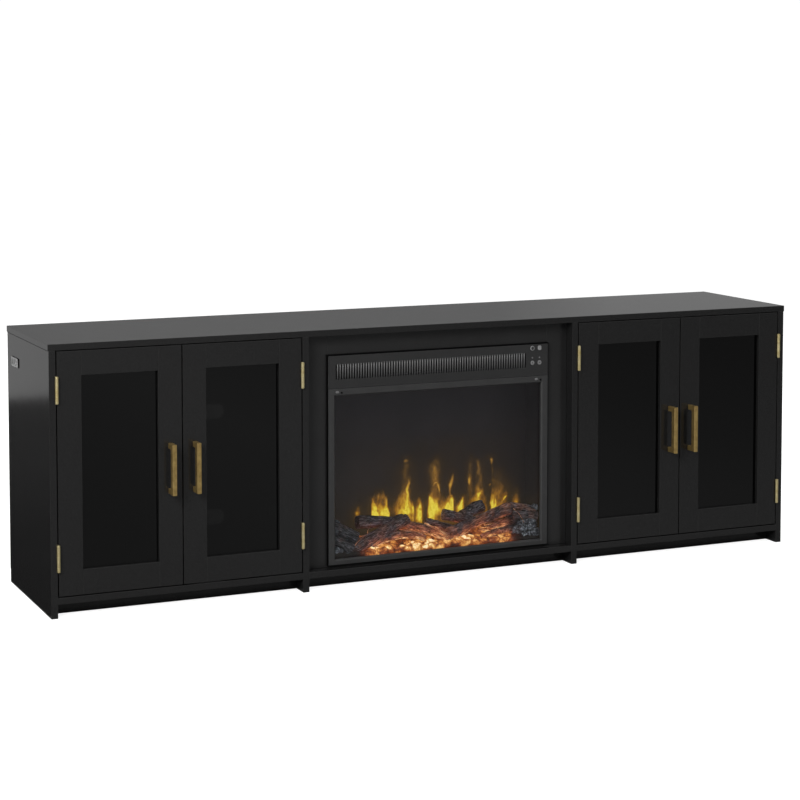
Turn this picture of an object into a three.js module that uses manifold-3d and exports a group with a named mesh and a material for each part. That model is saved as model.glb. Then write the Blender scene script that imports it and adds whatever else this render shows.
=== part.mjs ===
// Black television stand: four framed glass doors in two side cabinets, and an electric fireplace between them.
// Lengths are millimetres. X runs right, Y runs back and Z runs up, from the floor under the middle of the whole.
import * as THREE from 'three';
import { mergeVertices } from 'three/addons/utils/BufferGeometryUtils.js';
import Module from 'manifold-3d';

const wasm = await Module();
wasm.setup();

// Carcass
const stand_width = 2032;
const stand_depth = 406;
const stand_height = 648;
const top_thickness = 15;
const top_overhang = 2;
const side_thickness = 16;
const partition_thickness = 16;
const bottom_thickness = 16;
const bottom_clearance = 33;
const back_thickness = 3;
const centre_bay_width = 732;
const kick_setback = 48;
const kick_thickness = 15;
const seat_gap = 0.3;
const cut_overrun = 5;

// Shelves and their pins
const shelf_thickness = 15;
const shelf_underside = 312;
const shelf_setback = 32;
const shelf_side_gap = 0.8;
const shelf_pin_diameter = 5;
const shelf_pin_reach = 9;
const pin_hole_depth = 10;
const pin_hole_pitch = 32;
const pin_holes_each_way = 1;
const pin_row_inset = 55;

// Cable and vent cut-outs in the back panels
const cable_hole_width = 90;
const cable_hole_height = 40;
const cable_hole_inset = 110;
const cable_hole_rise = 70;
const vent_cutout_width = 360;
const vent_cutout_height = 70;
const vent_cutout_drop = 50;

// Doors
const door_thickness = 18;
const door_gap = 3.2;
const door_top_gap = 2.5;
const door_bottom_gap = 3;
const stile_width = 58;
const top_rail_height = 58;
const bottom_rail_height = 60;
const joint_groove_width = 1.8;
const joint_groove_depth = 0.9;
const glass_thickness = 4;
const glass_setback = 11;
const glass_lip = 8;

// Door handles
const handle_length = 122;
const handle_width = 11;
const handle_projection = 34;
const handle_grip_depth = 15;
const handle_post_height = 13;
const handle_inner_radius = 3;
const handle_edge = 0.9;
const handle_centre_height = 336;

// Butt hinges
const hinge_height = 63;
const hinge_inset = 59;
const knuckle_diameter = 8;
const knuckle_count = 5;
const knuckle_gap = 0.4;
const knuckle_clearance = 0.4;
const hinge_pin_diameter = 3;
const hinge_pin_clearance = 0.3;
const hinge_tip_height = 1.6;
const hinge_tip_diameter = 6.4;
const leaf_thickness = 1.1;
const leaf_width = 16;

// Magnetic catches and the strike plates on the doors
const catch_length = 46;
const catch_depth = 14;
const catch_height = 11;
const strike_length = 18;
const strike_height = 9;
const strike_thickness = 1.2;
const strike_edge_inset = 4;

// Charging station in the left side panel
const station_length = 66;
const station_height = 19.5;
const station_drop = 72;
const station_rear_inset = 47;
const station_depth = 44;
const station_flange = 2;
const station_proud = 1.8;
const station_face_recess = 0.6;
const station_rim = 1.6;
const station_corner = 3;
const socket_slot_length = 7;
const socket_slot_width = 1.8;
const socket_slot_spread = 12.7;
const socket_slot_depth = 12;
const earth_hole_diameter = 5;
const earth_hole_drop = 8;
const usb_width = 5;
const usb_length = 13;
const usb_spread = 16;
const usb_depth = 10;
const usb_tongue_width = 2;
const usb_tongue_inset = 1;
const socket_rise = 3;

// Fireplace surround board
const surround_setback = 32;
const surround_thickness = 15;

// Fireplace insert, outside
const insert_width = 611;
const insert_headroom = 54;
const insert_rise = 6.5;
const insert_setback = 22;
const flange_overlap = 8;
const control_panel_height = 82;
const panel_split = 0.8;
const sheet = 1.5;
const bezel_side = 18;
const bezel_top = 18;
const bezel_bottom = 13;
const bezel_bevel = 3;

// Grille in the control panel
const slot_count = 76;
const slot_pitch = 7;
const slot_width = 3.4;
const slot_height = 37.5;
const slot_drop = 22;
const slot_margin = 19.5;

// Push buttons and lamps in the control panel
const button_diameter = 11.4;
const button_clearance = 0.3;
const button_proud = 1.6;
const button_travel = 1.2;
const button_flange = 1.5;
const button_flange_thickness = 1.5;
const button_stem = 4;
const button_ring_width = 1.3;
const button_ring_depth = 0.6;
const button_dish = 0.5;
const square_button_width = 10;
const square_button_height = 12;
const square_button_corner = 3.5;
const button_column_inset = 24.1;
const button_column_pitch = 20.6;
const upper_button_drop = 9.6;
const lower_button_drop = 47.5;
const lamp_drop = 34.5;
const lamp_hole_diameter = 4.6;

// Firebox case
const case_depth = 150;
const case_vent_count = 10;
const case_vent_pitch = 14;
const case_vent_width = 5;
const case_vent_height = 36;
const gland_diameter = 18;
const gland_bore = 8;
const gland_reach = 9;
const gland_inset = 40;
const gland_rise = 36;
const fire_glass_thickness = 4;

// Ember bed and logs
const bed_front_height = 12;
const bed_back_height = 34;
const bed_depth = 78;
const bed_lump = 3.4;
const bed_lump_length = 19;
const log_pile_height = 100;
const log_diameter = 30;
const bark_ridge = 1.6;
const stone_diameter = 40;

// Flame screen, and the turning flicker spindle behind it
const screen_thickness = 2;
const screen_setback = 92;
const spindle_setback = 26;
const spindle_rise = 32;
const shaft_diameter = 6;
const bearing_clearance = 0.3;
const bearing_diameter = 16;
const bearing_reach = 9;
const spindle_end_gap = 0.5;
const flicker_count = 18;
const flicker_length = 18;
const flicker_reach = 19;
const flicker_thickness = 1;
const spindle_motor_diameter = 34;
const spindle_motor_length = 20;

// Warm-air blower behind the grille
const wheel_diameter = 42;
const wheel_length = 280;
const wheel_blade_count = 12;
const wheel_blade_depth = 8;
const wheel_blade_thickness = 1.2;
const wheel_disc_thickness = 1.6;
const wheel_disc_count = 3;
const wheel_hub_diameter = 14;
const wheel_running_gap = 3;
const housing_wall = 1.8;
const housing_end_gap = 4;
const housing_setback = 34;
const outlet_height = 24;
const outlet_reach = 12;
const blower_motor_diameter = 40;
const blower_motor_length = 32;
const heater_bar_count = 3;
const heater_bar_height = 3;
const heater_bar_depth = 10;

// Places that follow from the sizes above
const front_y = (handle_projection - stand_depth) / 2;
const back_y = front_y + stand_depth;
const board_back_y = back_y - back_thickness;
const half_width = stand_width / 2;
const under_top_z = stand_height - top_thickness;
const side_outer_x = half_width - top_overhang;
const side_inner_x = side_outer_x - side_thickness;
const partition_inner_x = centre_bay_width / 2;
const partition_outer_x = partition_inner_x + partition_thickness;
const side_bay_width = side_inner_x - partition_outer_x;
const floor_board_z = bottom_clearance + bottom_thickness;
const door_width = (side_bay_width - 3 * door_gap) / 2;
const door_low_z = floor_board_z + door_bottom_gap;
const door_high_z = under_top_z - door_top_gap;

// Solids from three.js geometry

function solid(geometry) {
  const plain = geometry.index ? geometry : geometry.clone();
  plain.deleteAttribute('normal');
  plain.deleteAttribute('uv');
  const merged = mergeVertices(plain, 1e-4);
  return new wasm.Manifold(new wasm.Mesh({
    numProp: 3,
    vertProperties: new Float32Array(merged.attributes.position.array),
    triVerts: new Uint32Array(merged.index.array),
  }));
}

function geometryOf(body) {
  const made = body.getMesh();
  const geometry = new THREE.BufferGeometry();
  geometry.setAttribute('position', new THREE.BufferAttribute(made.vertProperties, 3));
  geometry.setIndex(new THREE.BufferAttribute(made.triVerts, 1));
  geometry.computeVertexNormals();
  return geometry;
}

function rectangle(u_low, v_low, u_high, v_high) {
  const shape = new THREE.Shape();
  shape.moveTo(u_low, v_low);
  shape.lineTo(u_high, v_low);
  shape.lineTo(u_high, v_high);
  shape.lineTo(u_low, v_high);
  shape.closePath();
  return shape;
}

function roundedRectangle(u_low, v_low, u_high, v_high, radius) {
  const shape = new THREE.Shape();
  shape.moveTo(u_low + radius, v_low);
  shape.lineTo(u_high - radius, v_low);
  shape.absarc(u_high - radius, v_low + radius, radius, -Math.PI / 2, 0);
  shape.lineTo(u_high, v_high - radius);
  shape.absarc(u_high - radius, v_high - radius, radius, 0, Math.PI / 2);
  shape.lineTo(u_low + radius, v_high);
  shape.absarc(u_low + radius, v_high - radius, radius, Math.PI / 2, Math.PI);
  shape.lineTo(u_low, v_low + radius);
  shape.absarc(u_low + radius, v_low + radius, radius, Math.PI, Math.PI * 3 / 2);
  return shape;
}

function disc(u, v, diameter) {
  const shape = new THREE.Shape();
  for (let quarter = 0; quarter < 4; quarter += 1) {
    shape.absarc(u, v, diameter / 2, quarter * Math.PI / 2, (quarter + 1) * Math.PI / 2);
  }
  return shape;
}

// The three drawing planes: a front outline is X and Z, a side outline is Y and Z, a plan outline is X and Y.
const unit = {
  x: new THREE.Vector3(1, 0, 0),
  y: new THREE.Vector3(0, 1, 0),
  z: new THREE.Vector3(0, 0, 1),
};
const planes = {
  front: {
    turn: new THREE.Matrix4().makeBasis(unit.x, unit.z, unit.y.clone().negate()),
    shift: (start, length) => [0, start + length, 0],
  },
  side: {
    turn: new THREE.Matrix4().makeBasis(unit.y, unit.z, unit.x),
    shift: (start) => [start, 0, 0],
  },
  plan: {
    turn: new THREE.Matrix4(),
    shift: (start) => [0, 0, start],
  },
};

// An outline pushed from start by length, square to its plane, with an optional bevelled edge.
function extrude(plane, outline, start, length, { edge = 0, curve = 4 } = {}) {
  const geometry = new THREE.ExtrudeGeometry(outline, {
    depth: length - 2 * edge,
    steps: 1,
    curveSegments: curve,
    bevelEnabled: edge > 0,
    bevelThickness: edge,
    bevelSize: edge,
    bevelOffset: -edge,
    bevelSegments: 1,
  });
  geometry.translate(0, 0, edge);
  geometry.applyMatrix4(planes[plane].turn);
  geometry.translate(...planes[plane].shift(start, length));
  return solid(geometry);
}

// A closed profile of [radius, height] points turned about the Z axis.
function revolve(profile, segments) {
  return solid(new THREE.LatheGeometry(profile.map(([r, z]) => new THREE.Vector2(r, z)), segments)
    .rotateX(Math.PI / 2));
}

// A round bar along X, between two ends.
function barAlongX(x_low, x_high, y, z, diameter, segments) {
  return solid(new THREE.CylinderGeometry(diameter / 2, diameter / 2, x_high - x_low, segments)
    .rotateZ(Math.PI / 2)
    .translate((x_low + x_high) / 2, y, z));
}

function union(bodies) {
  return bodies.reduce((whole, body) => whole.add(body));
}

// A closed skin over rings of points that all have the same count, with a flat fan at each end.
function loft(rings) {
  const count = rings[0].length;
  const points = rings.flat();
  const faces = [];
  for (let ring = 0; ring < rings.length - 1; ring += 1) {
    for (let k = 0; k < count; k += 1) {
      const a = ring * count + k;
      const b = ring * count + (k + 1) % count;
      faces.push(a, b, b + count, a, b + count, a + count);
    }
  }
  const last = (rings.length - 1) * count;
  for (let k = 1; k < count - 1; k += 1) {
    faces.push(0, k + 1, k);
    faces.push(last, last + k, last + k + 1);
  }
  const geometry = new THREE.BufferGeometry().setFromPoints(points);
  geometry.setIndex(faces);
  return solid(geometry);
}

const stand = new THREE.Group();

function add(name, body, finish, parent = stand) {
  const mesh = new THREE.Mesh(geometryOf(body), finish);
  mesh.name = name;
  parent.add(mesh);
  return mesh;
}

// Finishes
function coat(color, roughness, metalness, more = {}) {
  return new THREE.MeshStandardMaterial({ color, roughness, metalness, flatShading: true, ...more });
}
const laminate = () => coat(0x262626, 0.45, 0);
const hardboard = () => coat(0x2b2a28, 0.8, 0);
const brass = () => coat(0xb9a15e, 0.3, 1);
const door_glass = () => coat(0x1c1d1f, 0.05, 0, { transparent: true, opacity: 0.45 });
const clear_glass = () => coat(0xdfe6ea, 0.03, 0, { transparent: true, opacity: 0.15 });
const black_metal = () => coat(0x363636, 0.5, 0.6);
const zinc_sheet = () => coat(0x8b8d8f, 0.45, 0.8);
const grey_plastic = () => coat(0x8a8a8a, 0.5, 0);
const soft_key = () => coat(0x6f6f6f, 0.45, 0);
const charred_wood = () => coat(0x2c211d, 0.9, 0);
const ember = () => coat(0xe08a3c, 0.6, 0, { emissive: 0xd8601a, emissiveIntensity: 0.8 });
const smoke_screen = () => coat(0x2a2529, 0.35, 0);
const foil = () => coat(0xc9ccce, 0.2, 1);

// Carcass boards

function buildTop() {
  const board = extrude('plan', rectangle(-half_width, front_y, half_width, back_y), under_top_z, top_thickness);
  const catch_y = front_y + door_thickness + strike_thickness + seat_gap;
  const catches = [-1, 1].map((hand) => {
    const middle = hand * (partition_outer_x + side_bay_width / 2);
    const outline = rectangle(middle - catch_length / 2, catch_y, middle + catch_length / 2, catch_y + catch_depth);
    return extrude('plan', outline, under_top_z - catch_height, catch_height + top_thickness / 2);
  });
  add('top_panel', union([board, ...catches]), laminate());
}

// The rows of shelf-pin holes in a board whose cabinet face is at face_x; inward is the way into the cabinet.
function drillForPins(board, face_x, inward) {
  const pin_z = shelf_underside - seat_gap - shelf_pin_diameter / 2;
  let drilled = board;
  for (const y of [front_y + door_thickness + shelf_setback + pin_row_inset, board_back_y - pin_row_inset]) {
    for (let row = -pin_holes_each_way; row <= pin_holes_each_way; row += 1) {
      const z = pin_z + row * pin_hole_pitch;
      const seated = row === 0;
      const reach = seated ? inward * shelf_pin_reach : inward * cut_overrun;
      const ends = [face_x - inward * pin_hole_depth, face_x + reach].sort((a, b) => a - b);
      const peg = barAlongX(ends[0], ends[1], y, z, shelf_pin_diameter, 8);
      drilled = seated ? drilled.add(peg) : drilled.subtract(peg);
    }
  }
  return drilled;
}

function buildSidesAndPartitions() {
  const outline = rectangle(front_y, 0, board_back_y, under_top_z - seat_gap);
  const station_high = stand_height - station_drop;
  const station_back = back_y - station_rear_inset;
  const station_hole = extrude('side', roundedRectangle(
    station_back - station_length, station_high - station_height, station_back, station_high, station_corner,
  ), -side_outer_x - cut_overrun, side_thickness + 2 * cut_overrun, { curve: 3 });
  for (const [side, hand] of [['left', -1], ['right', 1]]) {
    const side_x = hand < 0 ? -side_outer_x : side_inner_x;
    const side_board = drillForPins(extrude('side', outline, side_x, side_thickness), hand * side_inner_x, -hand);
    add('side_panel_' + side, hand < 0 ? side_board.subtract(station_hole) : side_board, laminate());
    const partition_x = hand < 0 ? -partition_outer_x : partition_inner_x;
    const partition = extrude('side', outline, partition_x, partition_thickness);
    add('partition_' + side, drillForPins(partition, hand * partition_outer_x, hand), laminate());
  }
}

function buildFloorsAndKicks() {
  const bays = {
    left: [-side_inner_x, -partition_outer_x],
    centre: [-partition_inner_x, partition_inner_x],
    right: [partition_outer_x, side_inner_x],
  };
  for (const [bay, [low, high]] of Object.entries(bays)) {
    const x_low = low + seat_gap;
    const x_high = high - seat_gap;
    const floor_outline = rectangle(x_low, front_y, x_high, board_back_y - seat_gap);
    add('bottom_panel_' + bay, extrude('plan', floor_outline, bottom_clearance, bottom_thickness), laminate());
    const kick_outline = rectangle(x_low, 0, x_high, bottom_clearance - seat_gap);
    add('toe_kick_' + bay, extrude('front', kick_outline, front_y + kick_setback, kick_thickness), laminate());
  }
}

function buildShelves() {
  const y_low = front_y + door_thickness + shelf_setback;
  const y_high = board_back_y - seat_gap;
  for (const [side, hand] of [['left', -1], ['right', 1]]) {
    const ends = [hand * (side_inner_x - shelf_side_gap), hand * (partition_outer_x + shelf_side_gap)];
    ends.sort((a, b) => a - b);
    const outline = rectangle(ends[0], y_low, ends[1], y_high);
    add('shelf_' + side, extrude('plan', outline, shelf_underside, shelf_thickness), laminate());
  }
}

function buildBacks() {
  const partition_middle = partition_inner_x + partition_thickness / 2;
  const z_high = under_top_z - seat_gap;
  const start = board_back_y + seat_gap;
  const length = back_thickness - seat_gap;
  for (const [side, hand] of [['left', -1], ['right', 1]]) {
    const ends = [hand * side_outer_x, hand * (partition_middle + seat_gap)].sort((a, b) => a - b);
    const outline = rectangle(ends[0], bottom_clearance, ends[1], z_high);
    const hole_x = hand * (partition_outer_x + cable_hole_inset);
    for (const hole_z of [floor_board_z + cable_hole_rise, shelf_underside + shelf_thickness + cable_hole_rise]) {
      outline.holes.push(roundedRectangle(
        hole_x - cable_hole_width / 2, hole_z - cable_hole_height / 2,
        hole_x + cable_hole_width / 2, hole_z + cable_hole_height / 2, cable_hole_height / 2 * 0.96,
      ));
    }
    add('back_panel_' + side, extrude('front', outline, start, length, { curve: 2 }), hardboard());
  }
  const centre = rectangle(-partition_middle, bottom_clearance, partition_middle, z_high);
  const vent_high = under_top_z - vent_cutout_drop;
  centre.holes.push(rectangle(
    -vent_cutout_width / 2, vent_high - vent_cutout_height, vent_cutout_width / 2, vent_high,
  ));
  const cord_z = floor_board_z + cable_hole_rise;
  centre.holes.push(roundedRectangle(
    partition_inner_x - cable_hole_inset - cable_hole_width / 2, cord_z - cable_hole_height / 2,
    partition_inner_x - cable_hole_inset + cable_hole_width / 2, cord_z + cable_hole_height / 2,
    cable_hole_height / 2 * 0.96,
  ));
  add('back_panel_centre', extrude('front', centre, start, length, { curve: 2 }), hardboard());
}

// Doors. A door is drawn with its hinge line at X = 0 and its front face at Y = 0; a right-hand door is mirrored.

function doorFrame() {
  const low_x = door_gap / 2;
  const high_x = low_x + door_width;
  const open_low_x = low_x + stile_width;
  const open_high_x = high_x - stile_width;
  const open_low_z = door_low_z + bottom_rail_height;
  const open_high_z = door_high_z - top_rail_height;
  const outline = rectangle(low_x, door_low_z, high_x, door_high_z);
  outline.holes.push(rectangle(open_low_x, open_low_z, open_high_x, open_high_z));
  let frame = extrude('front', outline, 0, door_thickness);
  const rabbet = rectangle(
    open_low_x - glass_lip, open_low_z - glass_lip, open_high_x + glass_lip, open_high_z + glass_lip,
  );
  frame = frame.subtract(extrude('front', rabbet, glass_setback, door_thickness));
  for (const x of [open_low_x, open_high_x]) {
    const groove = new THREE.Shape();
    groove.moveTo(x - joint_groove_width / 2, 0);
    groove.lineTo(x - joint_groove_width / 2, -cut_overrun);
    groove.lineTo(x + joint_groove_width / 2, -cut_overrun);
    groove.lineTo(x + joint_groove_width / 2, 0);
    groove.lineTo(x, joint_groove_depth);
    groove.closePath();
    frame = frame.subtract(extrude('plan', groove, open_high_z - joint_groove_width, top_rail_height + cut_overrun));
    frame = frame.subtract(extrude('plan', groove, door_low_z - cut_overrun,
      bottom_rail_height + cut_overrun + joint_groove_width));
  }
  const strike_high = door_high_z - strike_edge_inset;
  const strike = rectangle(
    high_x - strike_edge_inset - strike_length, strike_high - strike_height,
    high_x - strike_edge_inset, strike_high,
  );
  return frame.add(extrude('front', strike, glass_setback, door_thickness - glass_setback + strike_thickness));
}

function doorPane() {
  const inset = stile_width - glass_lip + seat_gap;
  const outline = rectangle(
    door_gap / 2 + inset, door_low_z + bottom_rail_height - glass_lip + seat_gap,
    door_gap / 2 + door_width - inset, door_high_z - top_rail_height + glass_lip - seat_gap,
  );
  return extrude('front', outline, glass_setback + seat_gap, glass_thickness);
}

function doorHandle() {
  const half = handle_length / 2;
  const gap_y = -(handle_projection - handle_grip_depth);
  const foot_y = -seat_gap;
  const r = handle_inner_radius;
  const clear = half - handle_post_height;
  const profile = new THREE.Shape();
  profile.moveTo(foot_y, -half);
  profile.lineTo(foot_y, -clear);
  profile.lineTo(gap_y + r, -clear);
  profile.absarc(gap_y + r, -clear + r, r, -Math.PI / 2, -Math.PI, true);
  profile.lineTo(gap_y, clear - r);
  profile.absarc(gap_y + r, clear - r, r, Math.PI, Math.PI / 2, true);
  profile.lineTo(foot_y, clear);
  profile.lineTo(foot_y, half);
  profile.lineTo(-handle_projection, half);
  profile.lineTo(-handle_projection, -half);
  profile.closePath();
  const middle_x = door_gap / 2 + door_width - stile_width / 2;
  return extrude('side', profile, middle_x - handle_width / 2, handle_width, { edge: handle_edge, curve: 2 })
    .translate([0, 0, handle_centre_height]);
}

// A hinge is drawn about its own pin. The cabinet leaf holds the odd knuckles and the pin, the door leaf the even.
function hingeLeaf(holds_pin) {
  const pitch = (hinge_height + knuckle_gap) / knuckle_count;
  const knuckle_length = pitch - knuckle_gap;
  const axis_y = -knuckle_diameter / 2 - knuckle_clearance;
  const low_x = door_gap / 2 - seat_gap - leaf_thickness;
  const hand = holds_pin ? -1 : 1;
  const ends = [hand * low_x, hand * (low_x + leaf_thickness)].sort((a, b) => a - b);
  const bodies = [
    extrude('plan', rectangle(ends[0], 0, ends[1], leaf_width), -hinge_height / 2, hinge_height),
  ];
  const barrel = [[0, 0], [knuckle_diameter / 2, 0], [knuckle_diameter / 2, knuckle_length], [0, knuckle_length]];
  for (let k = 0; k < knuckle_count; k += 1) {
    if ((k % 2 === 0) !== holds_pin) continue;
    const z = -hinge_height / 2 + k * pitch;
    bodies.push(revolve(barrel, 10).translate([0, axis_y, z]));
    bodies.push(extrude('plan', rectangle(ends[0], axis_y, ends[1], leaf_thickness), z, knuckle_length));
  }
  const leaf = union(bodies);
  const reach = hinge_height / 2;
  if (holds_pin) {
    const pin_radius = hinge_pin_diameter / 2;
    const tip_radius = hinge_tip_diameter / 2;
    const tip = [0, 0.55, 1].map((share) => {
      const turn = share * Math.PI / 2;
      return [tip_radius * Math.cos(turn), reach + hinge_tip_height * Math.sin(turn)];
    });
    const root = reach - knuckle_gap;
    const upper = [[pin_radius, root], [tip_radius, root], ...tip];
    const lower = upper.map(([r, z]) => [r, -z]).reverse();
    return leaf.add(revolve([...lower, ...upper], 8).translate([0, axis_y, 0]));
  }
  const bore_radius = hinge_pin_diameter / 2 + hinge_pin_clearance;
  const bore = [[0, -reach], [bore_radius, -reach], [bore_radius, reach], [0, reach]];
  return leaf.subtract(revolve(bore, 8).translate([0, axis_y, 0]));
}

function buildDoors() {
  const frame = doorFrame();
  const pane = doorPane();
  const handle = doorHandle();
  const cabinet_leaf = hingeLeaf(true);
  const door_leaf = hingeLeaf(false);
  const outer_line = side_inner_x - door_gap / 2;
  const inner_line = partition_outer_x + door_gap / 2;
  const hinge_lines = [[-outer_line, 1], [-inner_line, -1], [inner_line, 1], [outer_line, -1]];
  hinge_lines.forEach(([x, hand], index) => {
    const name = 'door_' + (index + 1);
    const door = new THREE.Group();
    door.position.set(x, front_y, 0);
    door.scale.set(hand, 1, 1);
    stand.add(door);
    add(name + '_frame', frame, laminate(), door);
    add(name + '_glass', pane, door_glass(), door);
    add(name + '_handle', handle, brass(), door);
    const heights = {
      upper: door_high_z - hinge_inset - hinge_height / 2,
      lower: door_low_z + hinge_inset + hinge_height / 2,
    };
    for (const [place, z] of Object.entries(heights)) {
      add(name + '_hinge_' + place + '_cabinet_leaf', cabinet_leaf, brass(), door).position.z = z;
      add(name + '_hinge_' + place + '_door_leaf', door_leaf, brass(), door).position.z = z;
    }
  });
}

// Charging station: a moulded box let into the left side panel, with a mains socket and two charging ports

function buildStation() {
  const z_high = stand_height - station_drop - seat_gap;
  const z_low = stand_height - station_drop - station_height + seat_gap;
  const y_high = back_y - station_rear_inset - seat_gap;
  const y_low = y_high - station_length + 2 * seat_gap;
  const z_middle = (z_low + z_high) / 2;
  const flange_x = -side_outer_x - station_proud;
  const flange_thickness = station_proud - seat_gap;
  const body = union([
    extrude('side', roundedRectangle(y_low, z_low, y_high, z_high, station_corner),
      flange_x + flange_thickness / 2, station_depth, { curve: 3 }),
    extrude('side', roundedRectangle(
      y_low - station_flange, z_low - station_flange, y_high + station_flange, z_high + station_flange, station_corner,
    ), flange_x, flange_thickness, { curve: 3 }),
  ]);
  const dish = roundedRectangle(
    y_low + station_rim, z_low + station_rim, y_high - station_rim, z_high - station_rim, station_corner / 2,
  );
  const face_x = flange_x + station_face_recess;
  const pocket = (outline, depth) => extrude('side', outline, face_x - station_face_recess - cut_overrun,
    depth + station_face_recess + cut_overrun, { curve: 2 });
  const socket_y = y_low + (y_high - y_low) * 0.3;
  const socket_z = z_middle + socket_rise;
  const cuts = [pocket(dish, 0)];
  const tongues = [];
  for (const hand of [-1, 1]) {
    const y = socket_y + hand * socket_slot_spread / 2;
    cuts.push(pocket(rectangle(
      y - socket_slot_width / 2, socket_z - socket_slot_length / 2,
      y + socket_slot_width / 2, socket_z + socket_slot_length / 2,
    ), socket_slot_depth));
  }
  cuts.push(pocket(disc(socket_y, socket_z - earth_hole_drop, earth_hole_diameter), socket_slot_depth));
  const usb_middle = y_low + (y_high - y_low) * 0.74;
  for (const hand of [-1, 1]) {
    const y = usb_middle + hand * usb_spread / 2;
    cuts.push(pocket(rectangle(
      y - usb_width / 2, z_middle - usb_length / 2, y + usb_width / 2, z_middle + usb_length / 2,
    ), usb_depth));
    tongues.push(extrude('side', rectangle(
      y - usb_tongue_width / 2, z_middle - usb_length / 2 + usb_tongue_inset,
      y + usb_tongue_width / 2, z_middle + usb_length / 2 - usb_tongue_inset,
    ), face_x + usb_tongue_inset, usb_depth));
  }
  const drilled = cuts.reduce((whole, cut) => whole.subtract(cut), body);
  add('charging_station', union([drilled, ...tongues]), grey_plastic());
}

// Fireplace

const insert_low_z = floor_board_z + insert_rise;
const insert_high_z = under_top_z - insert_headroom;
const insert_half = insert_width / 2;
const insert_y = front_y + insert_setback;
const surround_y = front_y + surround_setback;
const flange_depth = surround_setback - insert_setback - seat_gap;
const split_z = insert_high_z - control_panel_height;
const opening_half = insert_half - flange_overlap;
const opening_low_z = insert_low_z + flange_overlap;
const opening_high_z = insert_high_z - flange_overlap;
const case_half = opening_half - seat_gap;
const case_low_z = opening_low_z + seat_gap;
const case_high_z = opening_high_z - seat_gap;
const case_y = surround_y;
const case_back_y = case_y + case_depth;
const inner_half = case_half - sheet;
const hearth_z = case_low_z + sheet;
const hearth_y = case_y + fire_glass_thickness + 2 * seat_gap;
const shaft_radius = shaft_diameter / 2;

function buildSurround() {
  const outline = rectangle(
    -partition_inner_x + seat_gap, floor_board_z + seat_gap, partition_inner_x - seat_gap, under_top_z - seat_gap,
  );
  outline.holes.push(rectangle(-opening_half, opening_low_z, opening_half, opening_high_z));
  let board = extrude('front', outline, surround_y, surround_thickness);
  for (const x of [-insert_half, insert_half]) {
    const groove = new THREE.Shape();
    groove.moveTo(x - joint_groove_width / 2, surround_y);
    groove.lineTo(x - joint_groove_width / 2, surround_y - cut_overrun);
    groove.lineTo(x + joint_groove_width / 2, surround_y - cut_overrun);
    groove.lineTo(x + joint_groove_width / 2, surround_y);
    groove.lineTo(x, surround_y + joint_groove_depth);
    groove.closePath();
    board = board.subtract(extrude('plan', groove, insert_high_z - flange_overlap / 2,
      under_top_z - insert_high_z + flange_overlap));
  }
  add('fireplace_surround', board, laminate());
}

const button_columns = [insert_half - button_column_inset - button_column_pitch, insert_half - button_column_inset];
const button_rows = { upper: insert_high_z - upper_button_drop, lower: insert_high_z - lower_button_drop };

function buildControlPanel() {
  const z_low = split_z + panel_split / 2;
  const face = rectangle(-insert_half, z_low, insert_half, insert_high_z);
  const first_slot = -insert_half + slot_margin;
  const slot_high = insert_high_z - slot_drop;
  const slots = Array.from({ length: slot_count }, (_, k) => {
    const x = first_slot + k * slot_pitch;
    return rectangle(x, slot_high - slot_height, x + slot_width, slot_high);
  });
  const hole_diameter = button_diameter + 2 * button_clearance;
  const grow = button_clearance;
  for (const x of button_columns) {
    face.holes.push(disc(x, button_rows.lower, hole_diameter));
    face.holes.push(disc(x, insert_high_z - lamp_drop, lamp_hole_diameter));
  }
  face.holes.push(disc(button_columns[0], button_rows.upper, hole_diameter));
  face.holes.push(roundedRectangle(
    button_columns[1] - square_button_width / 2 - grow, button_rows.upper - square_button_height / 2 - grow,
    button_columns[1] + square_button_width / 2 + grow, button_rows.upper + square_button_height / 2 + grow,
    square_button_corner + grow,
  ));
  const front_sheet = extrude('front', face, insert_y, sheet, { curve: 3 })
    .subtract(extrude('front', slots, insert_y - cut_overrun, sheet + 2 * cut_overrun));
  const wall = rectangle(-insert_half, z_low, insert_half, insert_high_z);
  wall.holes.push(rectangle(-insert_half + sheet, z_low + sheet, insert_half - sheet, insert_high_z - sheet));
  add('grille_panel', front_sheet.add(extrude('front', wall, insert_y, flange_depth)), black_metal());
}

function buildBezel() {
  const z_high = split_z - panel_split / 2;
  const outline = rectangle(-insert_half, insert_low_z, insert_half, z_high);
  const open = [-insert_half + bezel_side, insert_low_z + bezel_bottom, insert_half - bezel_side, z_high - bezel_top];
  outline.holes.push(rectangle(...open));
  const frame = extrude('front', outline, insert_y, flange_depth);
  // The inner edge leans back towards the glass.
  const ring = (grow, y) => [
    new THREE.Vector3(open[0] - grow, y, open[1] - grow),
    new THREE.Vector3(open[2] + grow, y, open[1] - grow),
    new THREE.Vector3(open[2] + grow, y, open[3] + grow),
    new THREE.Vector3(open[0] - grow, y, open[3] + grow),
  ];
  const lean = loft([ring(0, insert_y + bezel_bevel), ring(bezel_bevel, insert_y)]);
  const mouth = extrude('front', rectangle(
    open[0] - bezel_bevel, open[1] - bezel_bevel, open[2] + bezel_bevel, open[3] + bezel_bevel,
  ), insert_y - cut_overrun, cut_overrun);
  add('glass_frame', frame.subtract(mouth.add(lean)), black_metal());
}

function buildFireGlass() {
  const outline = rectangle(
    -inner_half + seat_gap, hearth_z + seat_gap, inner_half - seat_gap, split_z - sheet - seat_gap,
  );
  add('fireplace_glass', extrude('front', outline, case_y, fire_glass_thickness), clear_glass());
}

const screen_y = hearth_y + screen_setback;
const spindle_y = screen_y + spindle_setback;
const spindle_z = hearth_z + spindle_rise;
const spindle_motor_x = inner_half - spindle_motor_length;

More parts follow.
